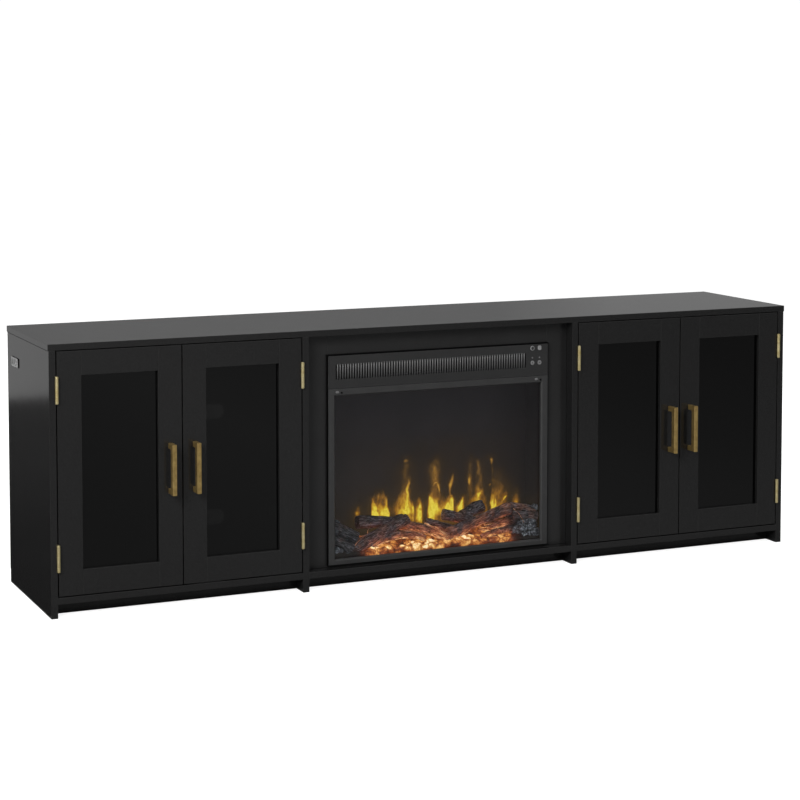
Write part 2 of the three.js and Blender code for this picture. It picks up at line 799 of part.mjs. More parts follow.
function buildCase() {
  const outer = extrude('front', rectangle(-case_half, case_low_z, case_half, case_high_z), case_y, case_depth);
  const inside = case_depth - sheet + cut_overrun;
  const fire = extrude('front', rectangle(-inner_half, hearth_z, inner_half, split_z - sheet),
    case_y - cut_overrun, inside);
  const air = extrude('front', rectangle(-inner_half, split_z, inner_half, case_high_z - sheet),
    case_y - cut_overrun, inside);
  let body = outer.subtract(fire).subtract(air);
  const vent_z = (split_z + case_high_z - case_vent_height) / 2;
  for (let k = 0; k < case_vent_count; k += 1) {
    const x = (k - (case_vent_count - 1) / 2) * case_vent_pitch;
    body = body.subtract(extrude('front', rectangle(
      x - case_vent_width / 2, vent_z, x + case_vent_width / 2, vent_z + case_vent_height,
    ), case_back_y - sheet - cut_overrun, sheet + 2 * cut_overrun));
  }
  const bore = shaft_diameter + 2 * bearing_clearance;
  const left_bearing = barAlongX(-inner_half - sheet / 2, -inner_half + bearing_reach, spindle_y, spindle_z,
    bearing_diameter, 12);
  const motor = barAlongX(spindle_motor_x, inner_half + sheet / 2, spindle_y, spindle_z, spindle_motor_diameter, 16);
  const left_bore = barAlongX(-inner_half, -inner_half + bearing_reach + cut_overrun, spindle_y, spindle_z, bore, 12);
  const right_bore = barAlongX(spindle_motor_x - cut_overrun, spindle_motor_x + bearing_reach, spindle_y, spindle_z,
    bore, 12);
  body = body.add(left_bearing).add(motor).subtract(left_bore).subtract(right_bore);
  const gland = extrude('front', disc(case_half - gland_inset, case_low_z + gland_rise, gland_diameter),
    case_back_y - sheet / 2, gland_reach + sheet / 2, { curve: 3 });
  const gland_hole = extrude('front', disc(case_half - gland_inset, case_low_z + gland_rise, gland_bore),
    case_back_y, gland_reach + cut_overrun, { curve: 2 });
  add('firebox_case', body.add(gland).subtract(gland_hole), black_metal());
}

// A smooth field of bumps that never repeats within the bed, from -1 to 1.
function bumps(u, v) {
  return (Math.sin(u + 1.3 * Math.sin(v * 0.7)) + Math.sin(1.7 * v + 0.9 * u) * 0.6 + Math.sin(2.3 * u - v) * 0.4) / 2;
}

// The bed of embers, optionally raised and carried down past its floor to cut what lies on it.
function emberBed(raise, sink) {
  const width = 2 * (inner_half - seat_gap);
  const slices = [14, 3];
  const bottom = hearth_z + seat_gap - sink;
  const geometry = new THREE.BoxGeometry(width, bed_depth, 1, slices[0], slices[1], 1);
  const place = geometry.attributes.position;
  for (let k = 0; k < place.count; k += 1) {
    const x = place.getX(k);
    const back_share = place.getY(k) / bed_depth + 0.5;
    const rise = bed_front_height + (bed_back_height - bed_front_height) * back_share ** 0.8;
    const lump = bed_lump * bumps(x / bed_lump_length, back_share * bed_depth / bed_lump_length);
    const top = hearth_z + rise + lump + raise;
    place.setZ(k, place.getZ(k) > 0 ? top : bottom);
  }
  geometry.translate(0, hearth_y + bed_depth / 2, 0);
  return solid(geometry);
}

// Logs: each end's place across, back and up as shares of the hearth, then its thickness share and its bow share.
const log_shares = [
  { from: [-0.86, 0.20, 0.08], to: [-0.36, 0.56, 0.64], thick: 1.05, bow: 0.05 },
  { from: [-0.70, 0.76, 0.76], to: [-0.34, 0.68, 0.68], thick: 1.05, bow: 0.02 },
  { from: [-0.20, 0.70, 0.82], to: [-0.30, 0.42, 0.46], thick: 1.0, bow: 0.02 },
  { from: [-0.30, 0.60, 0.62], to: [0.16, 0.32, 0.22], thick: 0.85, bow: 0.10 },
  { from: [-0.62, 0.20, 0.20], to: [-0.10, 0.28, 0.28], thick: 0.60, bow: 0.36 },
  { from: [0.14, 0.28, 0.32], to: [0.80, 0.62, 0.78], thick: 1.05, bow: 0.05 },
  { from: [0.14, 0.74, 0.76], to: [0.40, 0.60, 0.56], thick: 0.95, bow: 0.02 },
  { from: [0.32, 0.66, 0.70], to: [0.54, 0.82, 0.88], thick: 1.05, bow: 0.02 },
  { from: [0.46, 0.26, 0.14], to: [0.88, 0.44, 0.26], thick: 0.62, bow: 0.10 },
  { from: [0.80, 0.60, 0.82], to: [1.02, 0.34, 0.70], thick: 0.80, bow: 0.05 },
];

// Stones heaped at the two ends: place as shares of the hearth, then the size share.
const stone_shares = [
  [-0.90, 0.40, 0.22, 1.0], [-0.90, 0.72, 0.50, 1.2], [-0.76, 0.58, 0.36, 0.9], [-0.94, 0.58, 0.76, 0.9],
  [0.84, 0.36, 0.22, 0.9], [0.92, 0.64, 0.46, 1.15], [0.84, 0.80, 0.62, 1.0],
];

function hearthPoint([across, back, up]) {
  return new THREE.Vector3(
    across * (inner_half - stone_diameter / 4),
    hearth_y + back * bed_depth,
    hearth_z + up * log_pile_height,
  );
}

function logSolid({ from, to, thick, bow }) {
  const start = hearthPoint(from);
  const end = hearthPoint(to);
  const rise = new THREE.Vector3(0, 0, bow * log_pile_height);
  const middle = start.clone().lerp(end, 0.5).add(rise);
  const path = new THREE.QuadraticBezierCurve3(start, middle, end);
  const steps = 3;
  const sides = 6;
  const rings = [];
  for (let step = 0; step <= steps; step += 1) {
    const share = step / steps;
    const centre = path.getPoint(share);
    const along = path.getTangent(share);
    const across = new THREE.Vector3().crossVectors(unit.z, along).normalize();
    const up = new THREE.Vector3().crossVectors(along, across);
    const girth = thick * log_diameter / 2 * (1 + 0.08 * Math.sin(5 * share + from[0] * 9));
    rings.push(Array.from({ length: sides }, (_, k) => {
      const turn = k / sides * Math.PI * 2;
      const radius = girth + bark_ridge * Math.sin(2 * turn + 6 * share + to[0] * 7);
      return centre.clone()
        .addScaledVector(across, radius * Math.cos(turn))
        .addScaledVector(up, radius * Math.sin(turn));
    }));
  }
  return loft(rings);
}

function stoneSolid([across, back, up, size]) {
  const geometry = new THREE.IcosahedronGeometry(size * stone_diameter / 2, 1);
  const place = geometry.attributes.position;
  const point = new THREE.Vector3();
  for (let k = 0; k < place.count; k += 1) {
    point.fromBufferAttribute(place, k);
    const way = point.clone().normalize();
    point.multiplyScalar(1 + 0.12 * bumps(way.x * 3 + across * 5, way.y * 3 + way.z * 2 + back * 7));
    place.setXYZ(k, point.x, point.y, point.z * 0.8);
  }
  const centre = hearthPoint([across, back, up]);
  return solid(geometry.translate(centre.x, centre.y, centre.z));
}

function buildFire() {
  add('ember_bed', emberBed(0, 0), ember());
  const pile = union([...log_shares.map(logSolid), ...stone_shares.map(stoneSolid)]);
  const room = extrude('front', rectangle(
    -inner_half + seat_gap, hearth_z, inner_half - seat_gap, hearth_z + 2 * log_pile_height,
  ), hearth_y + seat_gap, screen_y - hearth_y - 2 * seat_gap);
  add('log_set', pile.intersect(room).subtract(emberBed(seat_gap, log_pile_height)), charred_wood());
  const screen = rectangle(
    -inner_half + seat_gap, hearth_z + seat_gap, inner_half - seat_gap, split_z - sheet - seat_gap,
  );
  add('flame_screen', extrude('front', screen, screen_y, screen_thickness), smoke_screen());
}

function buildSpindle() {
  const low_x = -inner_half + spindle_end_gap;
  const high_x = spindle_motor_x + bearing_reach - spindle_end_gap;
  let rod = barAlongX(low_x, high_x, 0, 0, shaft_diameter, 12);
  const first = -inner_half + bearing_reach + flicker_length;
  const pitch = (spindle_motor_x - flicker_length - first) / (flicker_count - 1);
  for (let k = 0; k < flicker_count; k += 1) {
    const x = first + k * pitch;
    const flake = new THREE.Shape();
    flake.moveTo(x - flicker_length / 2, 0);
    flake.quadraticCurveTo(x - flicker_length / 2, flicker_reach / 2, x, flicker_reach);
    flake.quadraticCurveTo(x + flicker_length / 2, flicker_reach / 2, x + flicker_length / 2, 0);
    flake.closePath();
    const blade = extrude('plan', flake, -flicker_thickness / 2, flicker_thickness, { curve: 1 });
    rod = rod.add(blade.rotate([k * 77, 0, 0]));
  }
  add('flame_spindle', rod.translate([0, spindle_y, spindle_z]), foil());
}

const wheel_radius = wheel_diameter / 2;
const chamber_radius = wheel_radius + wheel_running_gap;
const housing_y = case_y + housing_setback;
const wheel_y = housing_y + housing_wall + chamber_radius;
const housing_low_z = split_z + seat_gap;
const wheel_z = housing_low_z + housing_wall + chamber_radius;
const housing_half = wheel_length / 2 + housing_end_gap + housing_wall;

// The scroll: round behind and above the wheel, and straight to a mouth at the front.
function scrollOutline(radius, mouth_y) {
  const outline = new THREE.Shape();
  outline.moveTo(mouth_y, wheel_z - radius);
  outline.lineTo(wheel_y, wheel_z - radius);
  outline.absarc(wheel_y, wheel_z, radius, -Math.PI / 2, Math.PI * 0.75);
  const grow = radius - chamber_radius;
  outline.lineTo(mouth_y, wheel_z - chamber_radius + outlet_height + grow);
  outline.closePath();
  return outline;
}

function buildBlower() {
  const shell_radius = chamber_radius + housing_wall;
  const mouth_y = housing_y - outlet_reach;
  const shell = extrude('side', scrollOutline(shell_radius, mouth_y), -housing_half, 2 * housing_half, { curve: 8 });
  const inner_half_length = housing_half - housing_wall;
  const chamber = extrude('side', scrollOutline(chamber_radius, mouth_y - cut_overrun),
    -inner_half_length, 2 * inner_half_length, { curve: 8 });
  const inlet = extrude('side', rectangle(
    wheel_y, wheel_z + chamber_radius / 2, wheel_y + chamber_radius + cut_overrun, wheel_z + chamber_radius * 0.9,
  ), -inner_half_length, 2 * inner_half_length);
  const motor_end = housing_half + blower_motor_length;
  const motor = barAlongX(housing_half - housing_wall / 2, motor_end, wheel_y, wheel_z, blower_motor_diameter, 16);
  const bore = shaft_diameter + 2 * bearing_clearance;
  const bore_end = housing_half + bearing_reach;
  let body = shell.subtract(chamber).subtract(inlet).add(motor)
    .subtract(barAlongX(-housing_half - cut_overrun, bore_end, wheel_y, wheel_z, bore, 12));
  const step = outlet_height / (heater_bar_count + 1);
  for (let k = 1; k <= heater_bar_count; k += 1) {
    const z = housing_low_z + housing_wall + k * step;
    body = body.add(extrude('side', roundedRectangle(
      mouth_y, z - heater_bar_height / 2, mouth_y + heater_bar_depth, z + heater_bar_height / 2,
      heater_bar_height / 3,
    ), -housing_half, 2 * housing_half, { curve: 1 }));
  }
  add('blower_housing', body, zinc_sheet());

  // The wheel: curved blades between discs, on one shaft.
  const half = wheel_length / 2;
  const blade = new THREE.Shape();
  const inner = wheel_radius - wheel_blade_depth;
  const lean = wheel_blade_depth * 0.35;
  blade.moveTo(inner, 0);
  blade.quadraticCurveTo((inner + wheel_radius) / 2, 0, wheel_radius - wheel_blade_thickness / 2, lean);
  blade.lineTo(wheel_radius - wheel_blade_thickness, lean + wheel_blade_thickness);
  blade.quadraticCurveTo((inner + wheel_radius) / 2, wheel_blade_thickness, inner, wheel_blade_thickness);
  blade.closePath();
  const parts = [
    barAlongX(-housing_half, bore_end - spindle_end_gap, 0, 0, shaft_diameter, 12),
    barAlongX(-half, -half + bearing_reach, 0, 0, wheel_hub_diameter, 12),
    barAlongX(half - bearing_reach, half, 0, 0, wheel_hub_diameter, 12),
  ];
  for (let k = 0; k < wheel_blade_count; k += 1) {
    const one = extrude('side', blade, -half, wheel_length, { curve: 1 });
    parts.push(one.rotate([k / wheel_blade_count * 360, 0, 0]));
  }
  for (let k = 0; k < wheel_disc_count; k += 1) {
    const x = -half + k * (wheel_length - wheel_disc_thickness) / (wheel_disc_count - 1);
    parts.push(barAlongX(x, x + wheel_disc_thickness, 0, 0, wheel_diameter - wheel_blade_thickness, 16));
  }
  add('blower_wheel', union(parts).translate([0, wheel_y, wheel_z]), black_metal());
}

// Push buttons. Each has a collar behind the sheet that keeps it in, and room to travel.

function roundButton(ringed) {
  const radius = button_diameter / 2;
  const back = sheet + button_clearance;
  const flange_back = back + button_flange_thickness;
  const profile = ringed
    ? [
      [0, -button_proud + button_ring_depth],
      [radius - 2 * button_ring_width, -button_proud + button_ring_depth],
      [radius - 2 * button_ring_width, -button_proud],
      [radius - button_ring_width / 3, -button_proud],
      [radius, -button_proud + button_ring_width / 3],
    ]
    : [
      [0, -button_proud + button_dish],
      [radius / 2, -button_proud + button_dish / 3],
      [radius - button_ring_width, -button_proud],
      [radius, -button_proud + button_ring_width / 2],
    ];
  profile.push([radius, back], [radius + button_flange, back], [radius + button_flange, flange_back]);
  profile.push([radius / 2, flange_back], [radius / 2, flange_back + button_stem], [0, flange_back + button_stem]);
  return revolve(profile, 16).rotate([-90, 0, 0]);
}

function squareButton() {
  const half_w = square_button_width / 2;
  const half_h = square_button_height / 2;
  const back = sheet + button_clearance;
  const cap = extrude('front', roundedRectangle(-half_w, -half_h, half_w, half_h, square_button_corner),
    -button_proud, button_proud + back + button_flange_thickness / 2, { edge: button_ring_width / 2, curve: 2 });
  const flange = extrude('front', roundedRectangle(
    -half_w - button_flange, -half_h - button_flange, half_w + button_flange, half_h + button_flange,
    square_button_corner,
  ), back, button_flange_thickness, { curve: 1 });
  const stem = extrude('front', disc(0, 0, button_diameter / 2), back, button_flange_thickness + button_stem,
    { curve: 2 });
  return union([cap, flange, stem]);
}

function buildButtons() {
  const places = [
    ['power_button', button_columns[0], button_rows.upper, roundButton(true)],
    ['mode_button', button_columns[1], button_rows.upper, squareButton()],
    ['flame_button', button_columns[0], button_rows.lower, roundButton(false)],
    ['heat_button', button_columns[1], button_rows.lower, roundButton(false)],
  ];
  for (const [name, x, z, body] of places) {
    add(name, body, soft_key()).position.set(x, insert_y, z);
  }
}

buildTop();
buildSidesAndPartitions();
buildFloorsAndKicks();
buildShelves();
buildBacks();
buildDoors();
buildStation();
buildSurround();
buildControlPanel();
buildBezel();
buildFireGlass();
buildCase();
buildFire();
buildSpindle();
buildBlower();
buildButtons();

export default stand;
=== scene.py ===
import math

import bmesh
import bpy
import numpy as np
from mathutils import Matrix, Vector


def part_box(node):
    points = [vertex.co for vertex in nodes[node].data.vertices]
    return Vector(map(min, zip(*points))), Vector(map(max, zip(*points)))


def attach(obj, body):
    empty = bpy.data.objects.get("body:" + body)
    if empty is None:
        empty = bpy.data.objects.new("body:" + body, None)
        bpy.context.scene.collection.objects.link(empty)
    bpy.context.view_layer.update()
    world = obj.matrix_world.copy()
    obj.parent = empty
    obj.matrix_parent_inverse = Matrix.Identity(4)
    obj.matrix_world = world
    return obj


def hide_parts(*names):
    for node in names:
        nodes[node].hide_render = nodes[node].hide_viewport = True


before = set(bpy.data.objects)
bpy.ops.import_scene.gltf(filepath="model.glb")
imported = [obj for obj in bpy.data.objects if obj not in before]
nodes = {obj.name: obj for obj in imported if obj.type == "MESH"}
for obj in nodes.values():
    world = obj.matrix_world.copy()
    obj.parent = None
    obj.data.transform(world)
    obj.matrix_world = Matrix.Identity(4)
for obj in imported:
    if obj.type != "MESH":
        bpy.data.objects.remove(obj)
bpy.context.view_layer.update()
scene = bpy.context.scene
MM = 0.001


def placed(name, data):
    """A new object in the scene."""
    made = bpy.data.objects.new(name, data)
    scene.collection.objects.link(made)
    return made


# The camera, solved from the photograph's edges
CAMERA_PLACE = (-2.2311, -4.9536, 1.2772)
CAMERA_YAW = math.radians(23.864)
CAMERA_PITCH = math.radians(3.999)
CAMERA_LENS = 94.746
CAMERA_SHIFT_UP = -0.225

camera_data = bpy.data.cameras.new("camera")
camera_data.sensor_width = 36
camera_data.lens = CAMERA_LENS
camera_data.shift_y = CAMERA_SHIFT_UP
camera_data.clip_start, camera_data.clip_end = 0.05, 200
camera = placed("camera", camera_data)
camera.location = CAMERA_PLACE
camera.rotation_euler = (math.pi / 2 - CAMERA_PITCH, 0, -CAMERA_YAW)
scene.camera = camera
scene.view_settings.view_transform = "Standard"


class Box:
    """A CAD node's box in millimetres."""

    def __init__(self, node):
        low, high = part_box(node)
        self.x0, self.y0, self.z0 = (value / MM for value in low)
        self.x1, self.y1, self.z1 = (value / MM for value in high)


# Colours and node graphs
def linear(colour):
    """Linear values of #rrggbb, or of a grey that is given as a linear level."""
    if not isinstance(colour, str):
        return (colour, colour, colour, 1.0)
    parts = [int(colour[k:k + 2], 16) / 255 for k in (1, 3, 5)]
    return tuple(p / 12.92 if p <= 0.04045 else ((p + 0.055) / 1.055) ** 2.4 for p in parts) + (1.0,)


class Finish:
    """The nodes of one material. A colour is #rrggbb or a linear grey level."""

    def __init__(self, name, principled=True):
        self.material = bpy.data.materials.new(name)
        self.material.use_nodes = True
        self.tree = self.material.node_tree
        self.tree.nodes.clear()
        self.surface = self.add("OutputMaterial").inputs["Surface"]
        self.place = self.add("TexCoord").outputs["Object"]
        if principled:
            self.shader = self.add("BsdfPrincipled")
            self.feed(self.surface, self.shader.outputs["BSDF"])
        self.normal = None

    def add(self, kind, inputs=None, **settings):
        made = self.tree.nodes.new("ShaderNode" + kind)
        for name, value in settings.items():
            setattr(made, name, value)
        for name, value in (inputs or {}).items():
            self.feed(made.inputs[name], value)
        return made

    def feed(self, socket, value):
        if isinstance(value, bpy.types.NodeSocket):
            self.tree.links.new(value, socket)
        elif value is not None:
            socket.default_value = linear(value) if isinstance(value, str) else value

    def set(self, **values):
        """Sets the shader's own sockets: base_color becomes Base Color."""
        others = {"specular": "Specular IOR Level", "ior": "IOR"}
        for name, value in values.items():
            self.feed(self.shader.inputs[others.get(name) or name.replace("_", " ").title()], value)

    def stretched(self, *scale):
        return self.add("Mapping", {"Vector": self.place, "Scale": scale}).outputs["Vector"]

    def along(self, axis, vector=None):
        return self.add("SeparateXYZ", {0: vector or self.place}).outputs[axis]

    def attribute(self, name, socket="Fac"):
        return self.add("Attribute", attribute_name=name).outputs[socket]

    def noise(self, scale, detail=3.0, rough=0.55, place=None, twist=0.0):
        inputs = {"Vector": place or self.place, "Scale": scale, "Detail": detail, "Roughness": rough,
                  "Distortion": twist}
        return self.add("TexNoise", inputs).outputs["Fac"]

    def cells(self, scale, feature="F1"):
        inputs = {"Vector": self.place, "Scale": scale}
        return self.add("TexVoronoi", inputs, feature=feature).outputs["Distance"]

    def ramp(self, value, *stops):
        made = self.add("ValToRGB", {"Fac": value})
        points = made.color_ramp.elements
        while len(points) < len(stops):
            points.new(0.5)
        for point, (place, colour) in zip(points, stops):
            point.position = place
            point.color = linear(colour)
        return made.outputs["Color"]

    def tones(self, noise, dark, light):
        """Two colours over the middle of a noise."""
        return self.ramp(noise, (0.3, dark), (0.7, light))

    def span(self, value, low, high, to_low, to_high):
        inputs = {"Value": value, "From Min": low, "From Max": high, "To Min": to_low, "To Max": to_high}
        return self.add("MapRange", inputs).outputs["Result"]

    def middle(self, noise, low, high):
        """Two numbers over the middle of a noise."""
        return self.span(noise, 0.3, 0.7, low, high)

    def math(self, operation, a, b, clamp=False):
        return self.add("Math", {0: a, 1: b}, operation=operation, use_clamp=clamp).outputs[0]

    def sum(self, a, b):
        return self.math("ADD", a, b)

    def times(self, product, *others):
        for other in others:
            product = self.math("MULTIPLY", product, other)
        return product

    def mix(self, share, a, b, blend="MIX"):
        inputs = {"Factor": share, 6: a, 7: b}
        return self.add("Mix", inputs, data_type="RGBA", blend_type=blend).outputs[2]

    def bump(self, height, strength, depth):
        inputs = {"Strength": strength, "Distance": depth, "Height": height, "Normal": self.normal}
        self.set(normal=self.add("Bump", inputs).outputs["Normal"])

    def grain(self, noise, rough, strength, depth):
        """A fine relief, and the roughness that goes with it."""
        self.set(roughness=self.middle(noise, *rough))
        self.bump(noise, strength, depth)

    def soft_edges(self, radius):
        """Rounds the normal at the edges, and says how near an edge each point is."""
        self.normal = self.add("Bevel", {"Radius": radius}, samples=6).outputs["Normal"]
        flat = self.add("NewGeometry").outputs["Normal"]
        turned = self.add("VectorMath", {0: self.normal, 1: flat}, operation="DOT_PRODUCT")
        return self.span(turned.outputs["Value"], 0.995, 0.8, 0, 1)


# Finishes
def laminate_finish(name, dark, light):
    f = Finish(name)
    edge = f.soft_edges(0.0017)
    base = f.tones(f.noise(950, 2), dark, light)
    base = f.mix(f.span(f.noise(7, 4), 0.35, 0.65, 0, 0.35), base, "#1c1b1b")
    # Lighter patches at the edges: partly rubbed wear, partly a painted highlight.
    edge_wear_and_highlight = f.times(edge, f.noise(160))
    gloss = f.middle(f.noise(42, 5), 0.10, 0.14)
    f.set(base_color=f.mix(edge_wear_and_highlight, base, "#3a3938"), roughness=f.sum(gloss, f.times(edge_wear_and_highlight, 0.2)),
          specular=0.42)
    f.bump(f.noise(1300, 2), 0.04, 0.0002)
    return f


def hardboard_finish():
    f = Finish("painted_hardboard")
    fibre = f.noise(90, 5, 0.7, f.stretched(1, 1, 3.2), 0.6)
    tone = f.ramp(fibre, (0.3, "#1f1d1b"), (0.55, "#2b2926"), (0.75, "#37332e"))
    f.set(base_color=tone, specular=0.3)
    f.grain(f.noise(420, 4, place=f.stretched(1, 1, 0.55)), (0.62, 0.85), 0.35, 0.0004)
    return f


def brass_finish(name, bright, dark):
    f = Finish(name)
    edge = f.soft_edges(0.0008)
    brushed = f.noise(900, place=f.stretched(1, 1, 0.04))
    stain = f.noise(55, 4, 0.6)
    base = f.mix(f.span(stain, 0.35, 0.7, 0, 0.7), bright, dark)
    f.set(base_color=f.mix(f.times(edge, 0.7), base, "#dcc88e"), metallic=0.85)
    f.set(roughness=f.sum(f.middle(brushed, 0.28, 0.42), f.span(stain, 0.4, 0.8, 0, 0.12)))
    f.bump(brushed, 0.12, 0.0002)
    return f


def door_glass_finish():
    f = Finish("smoked_door_glass")
    f.set(base_color=f.tones(f.noise(14, 4), "#080808", "#0b0b0b"))
    f.set(roughness=f.span(f.noise(30, 5), 0.35, 0.75, 0.012, 0.05), transmission_weight=0.92, ior=1.5)
    f.bump(f.noise(5, 2), 0.02, 0.0005)
    return f


def fire_glass_finish():
    f = Finish("clear_fire_glass")
    f.set(base_color=f.tones(f.noise(9), "#eef1f0", "#f7f8f8"))
    f.set(roughness=f.span(f.noise(22, 5), 0.4, 0.8, 0, 0.004), transmission_weight=1, ior=1.3)
    return f


def enamel_finish(name, light, dark, rough=(0.42, 0.55)):
    f = Finish(name)
    edge = f.soft_edges(0.0007)
    # Lighter patches at the edges: partly rubbed wear, partly a painted highlight.
    edge_wear_and_highlight = f.times(edge, f.noise(210))
    f.set(base_color=f.mix(edge_wear_and_highlight, f.tones(f.noise(25, 4), dark, light), "#6a6a6a"), metallic=0.25)
    f.grain(f.noise(1500, 2), rough, 0.25, 0.0003)
    return f


def bar_finish(low, high):
    """Satin grille bars, with painted shading: darker at the foot of the slots and lighter towards the top.
    """
    f = Finish("satin_grille_bar")
    f.soft_edges(0.0007)
    powder = f.noise(1500, 2)
    # Painted light and shade along the bars' height: dark at the foot, lightest near the top.
    up = f.span(f.along("Z"), low * MM, high * MM, 0, 1)
    base = f.ramp(up, (0, "#2c2c2c"), (0.5, "#585858"), (0.9, "#7c7c7c"), (1, "#5c5c5c"))
    f.set(base_color=f.mix(f.middle(powder, 0, 0.3), base, "#404040"), metallic=0.25)
    f.grain(powder, (0.3, 0.42), 0.25, 0.0003)
    return f


def zinc_finish(name, low, high, deep):
    f = Finish(name)
    f.set(base_color=f.ramp(f.cells(160), (0, low), (0.5, high), (1, deep)), metallic=0.95)
    f.grain(f.noise(700, 2, place=f.stretched(0.05, 1, 1)), (0.3, 0.5), 0.1, 0.0002)
    return f


def foil_finish():
    f = Finish("polished_foil")
    crease = f.noise(260, 4, 0.6, twist=0.8)
    f.set(base_color=f.ramp(crease, (0.2, "#b9bdc0"), (0.8, "#e2e5e7")), metallic=1)
    f.set(roughness=f.span(crease, 0.2, 0.8, 0.08, 0.24))
    f.bump(crease, 0.5, 0.0006)
    return f


def station_finish(box):
    """A grey face, with painted shade: dark bands along its front and top edges, dark sides and dark sockets.
    """
    front_shade_band, top_shade_band, shade_band_blend, socket_shade_depth, socket_shade_blend = 3.5, 0.8, 0.1, 0.85, 0.05
    f = Finish("charging_station_plastic")
    f.soft_edges(0.0006)

    def step(axis, limit, blend, below):
        return f.span(f.along(axis), (limit - blend) * MM, (limit + blend) * MM, below, 1 - below)

    facing = f.along("X", f.add("NewGeometry").outputs["Normal"])
    outer = f.span(f.math("ABSOLUTE", facing, 0), 0.7, 0.8, 0, 1)
    # face is 1 on the grey face and 0 where the shade is painted.
    face = f.times(outer, step("Y", box.y0 + front_shade_band, shade_band_blend, 0),
                   step("Z", box.z1 - top_shade_band, shade_band_blend, 1),
                   step("X", box.x0 + socket_shade_depth, socket_shade_blend, 1))
    speck = f.noise(1700, 2)
    light = f.ramp(f.noise(170, 4, 0.7), (0.36, "#6a6a6a"), (0.5, "#9a9a9a"), (0.64, "#b4b4b4"))
    f.set(base_color=f.mix(face, f.tones(speck, "#0a0a0a", "#101010"), light))
    f.set(specular=f.span(face, 0, 1, 0.06, 0.3))
    f.grain(speck, (0.5, 0.65), 0.2, 0.0002)
    return f


def plastic_finish(name, light, dark, grain=1700, rough=(0.4, 0.55), sheen=0.5):
    f = Finish(name)
    f.soft_edges(0.0006)
    f.set(base_color=f.tones(f.noise(120, 4, 0.65), dark, light), specular=sheen)
    f.grain(f.noise(grain, 2), rough, 0.2, 0.0002)
    return f


def key_finish(node, name, ring, cap, shaded_core, radius):
    """A key with a bright ring, a cap and a darker middle of painted shade, round its own centre."""
    f = Finish(name)
    f.soft_edges(0.0005)
    box = Box(node)
    centre = ((box.x0 + box.x1) / 2 * MM, 0, (box.z0 + box.z1) / 2 * MM)
    apart = f.add("VectorMath", {0: f.stretched(1, 0, 1), 1: centre}, operation="DISTANCE")
    out = f.span(apart.outputs["Value"], 0, radius * MM, 0, 1)
    tone = f.ramp(out, (0.34, shaded_core), (0.42, cap), (0.74, cap), (0.82, ring))
    speck = f.noise(1500, 2)
    f.set(base_color=f.mix(f.middle(speck, 0, 0.25), tone, linear(0.05)))
    f.grain(speck, (0.36, 0.5), 0.2, 0.0002)
    return f


def lens_finish():
    f = Finish("frosted_lamp_lens")
    f.set(base_color=f.tones(f.noise(700), "#565656", "#686868"))
    f.set(roughness=f.middle(f.noise(900, 2), 0.2, 0.35))
    f.bump(f.noise(1400, 2), 0.2, 0.0002)
    return f


def screen_finish(name, strength):
    """Smoky film, with a warm glow that fades upward and towards the two ends."""
    bright_height, dark_height, middle_half, dim_half = 0.08, 0.42, 0.17, 0.29
    f = Finish(name)
    low = f.span(f.along("Z"), bright_height, dark_height, 1, 0)
    haze = f.noise(9, 5, 0.6, f.stretched(1, 1, 0.5))
    warm = f.times(low, f.middle(haze, 0.5, 1))
    light = f.ramp(warm, (0, "#1d1b1d"), (0.5, "#25201e"), (0.9, "#392c15"))
    ends = f.span(f.math("ABSOLUTE", f.along("X"), 0), middle_half, dim_half, 1, 0.72)
    fade = f.ramp(ends, (0, 0), (1, 1))
    f.set(base_color=f.tones(haze, "#161416", "#1d1a1c"), specular=0.12)
    f.set(emission_color=f.mix(1, light, fade, "MULTIPLY"), emission_strength=strength)
    f.set(roughness=f.middle(f.noise(60, 4), 0.5, 0.62))
    f.bump(f.noise(500), 0.03, 0.0002)
    return f


def flame_finish():
    """Yellow at the root, browner at the tip, and clear where there is no heat."""
    root_top, tip_start = 0.165, 0.235
    f = Finish("flame_light")
    lick = f.noise(110, 4, 0.6, f.stretched(1.3, 1, 0.7), 1)
    heat = f.times(f.attribute("glow"), f.middle(lick, 0.85, 1.12))
    root = f.ramp(heat, (0, "#3a2c18"), (0.2, "#4c3818"), (0.42, "#80541c"), (0.6, "#a87620"),
                  (0.76, "#c69824"), (0.9, "#d8b82c"), (1, "#e8d44a"))
    tip = f.ramp(heat, (0, "#352818"), (0.2, "#46341c"), (0.42, "#7c5826"), (0.7, "#b48434"),
                 (1, "#d6b040"))
    high = f.span(f.along("Z"), root_top, tip_start, 0, 1)
    f.set(base_color=f.ramp(heat, (0, 0), (1, 0.02)), roughness=1, specular=0)
    f.set(emission_color=f.mix(high, root, tip), emission_strength=1)
    f.set(alpha=f.ramp(heat, (0, 0), (0.08, 0.35), (0.25, 0.72), (0.5, 0.95), (0.8, 1)))
    return f


def ember_finish():
    f = Finish("glowing_ember_resin")
    crack = f.noise(150, 5, 0.65, twist=1.5)
    lump = f.noise(48, 4, 0.6, twist=0.6)
    seam = f.cells(42, "DISTANCE_TO_EDGE")
    level = f.times(f.attribute("hot"), f.span(lump, 0.34, 0.66, 0.3, 1.5),
                    f.span(crack, 0.32, 0.68, 0.68, 1.22), f.span(seam, 0, 0.2, 0.45, 1.08))
    f.set(base_color=f.ramp(level, (0, "#17120f"), (0.3, "#4c2818"), (0.6, "#8c5c34"), (1, "#c8a070")))
    light = f.ramp(level, (0, "#080403"), (0.14, "#441a0c"), (0.3, "#843e1a"), (0.46, "#bc7634"),
                   (0.64, "#d8a256"), (0.82, "#e6c688"), (1, "#f8eac4"))
    f.set(emission_color=light, emission_strength=0.98)
    f.set(roughness=f.middle(crack, 0.35, 0.6), specular=0.4)
    f.bump(f.sum(crack, lump), 0.5, 0.002)
    return f


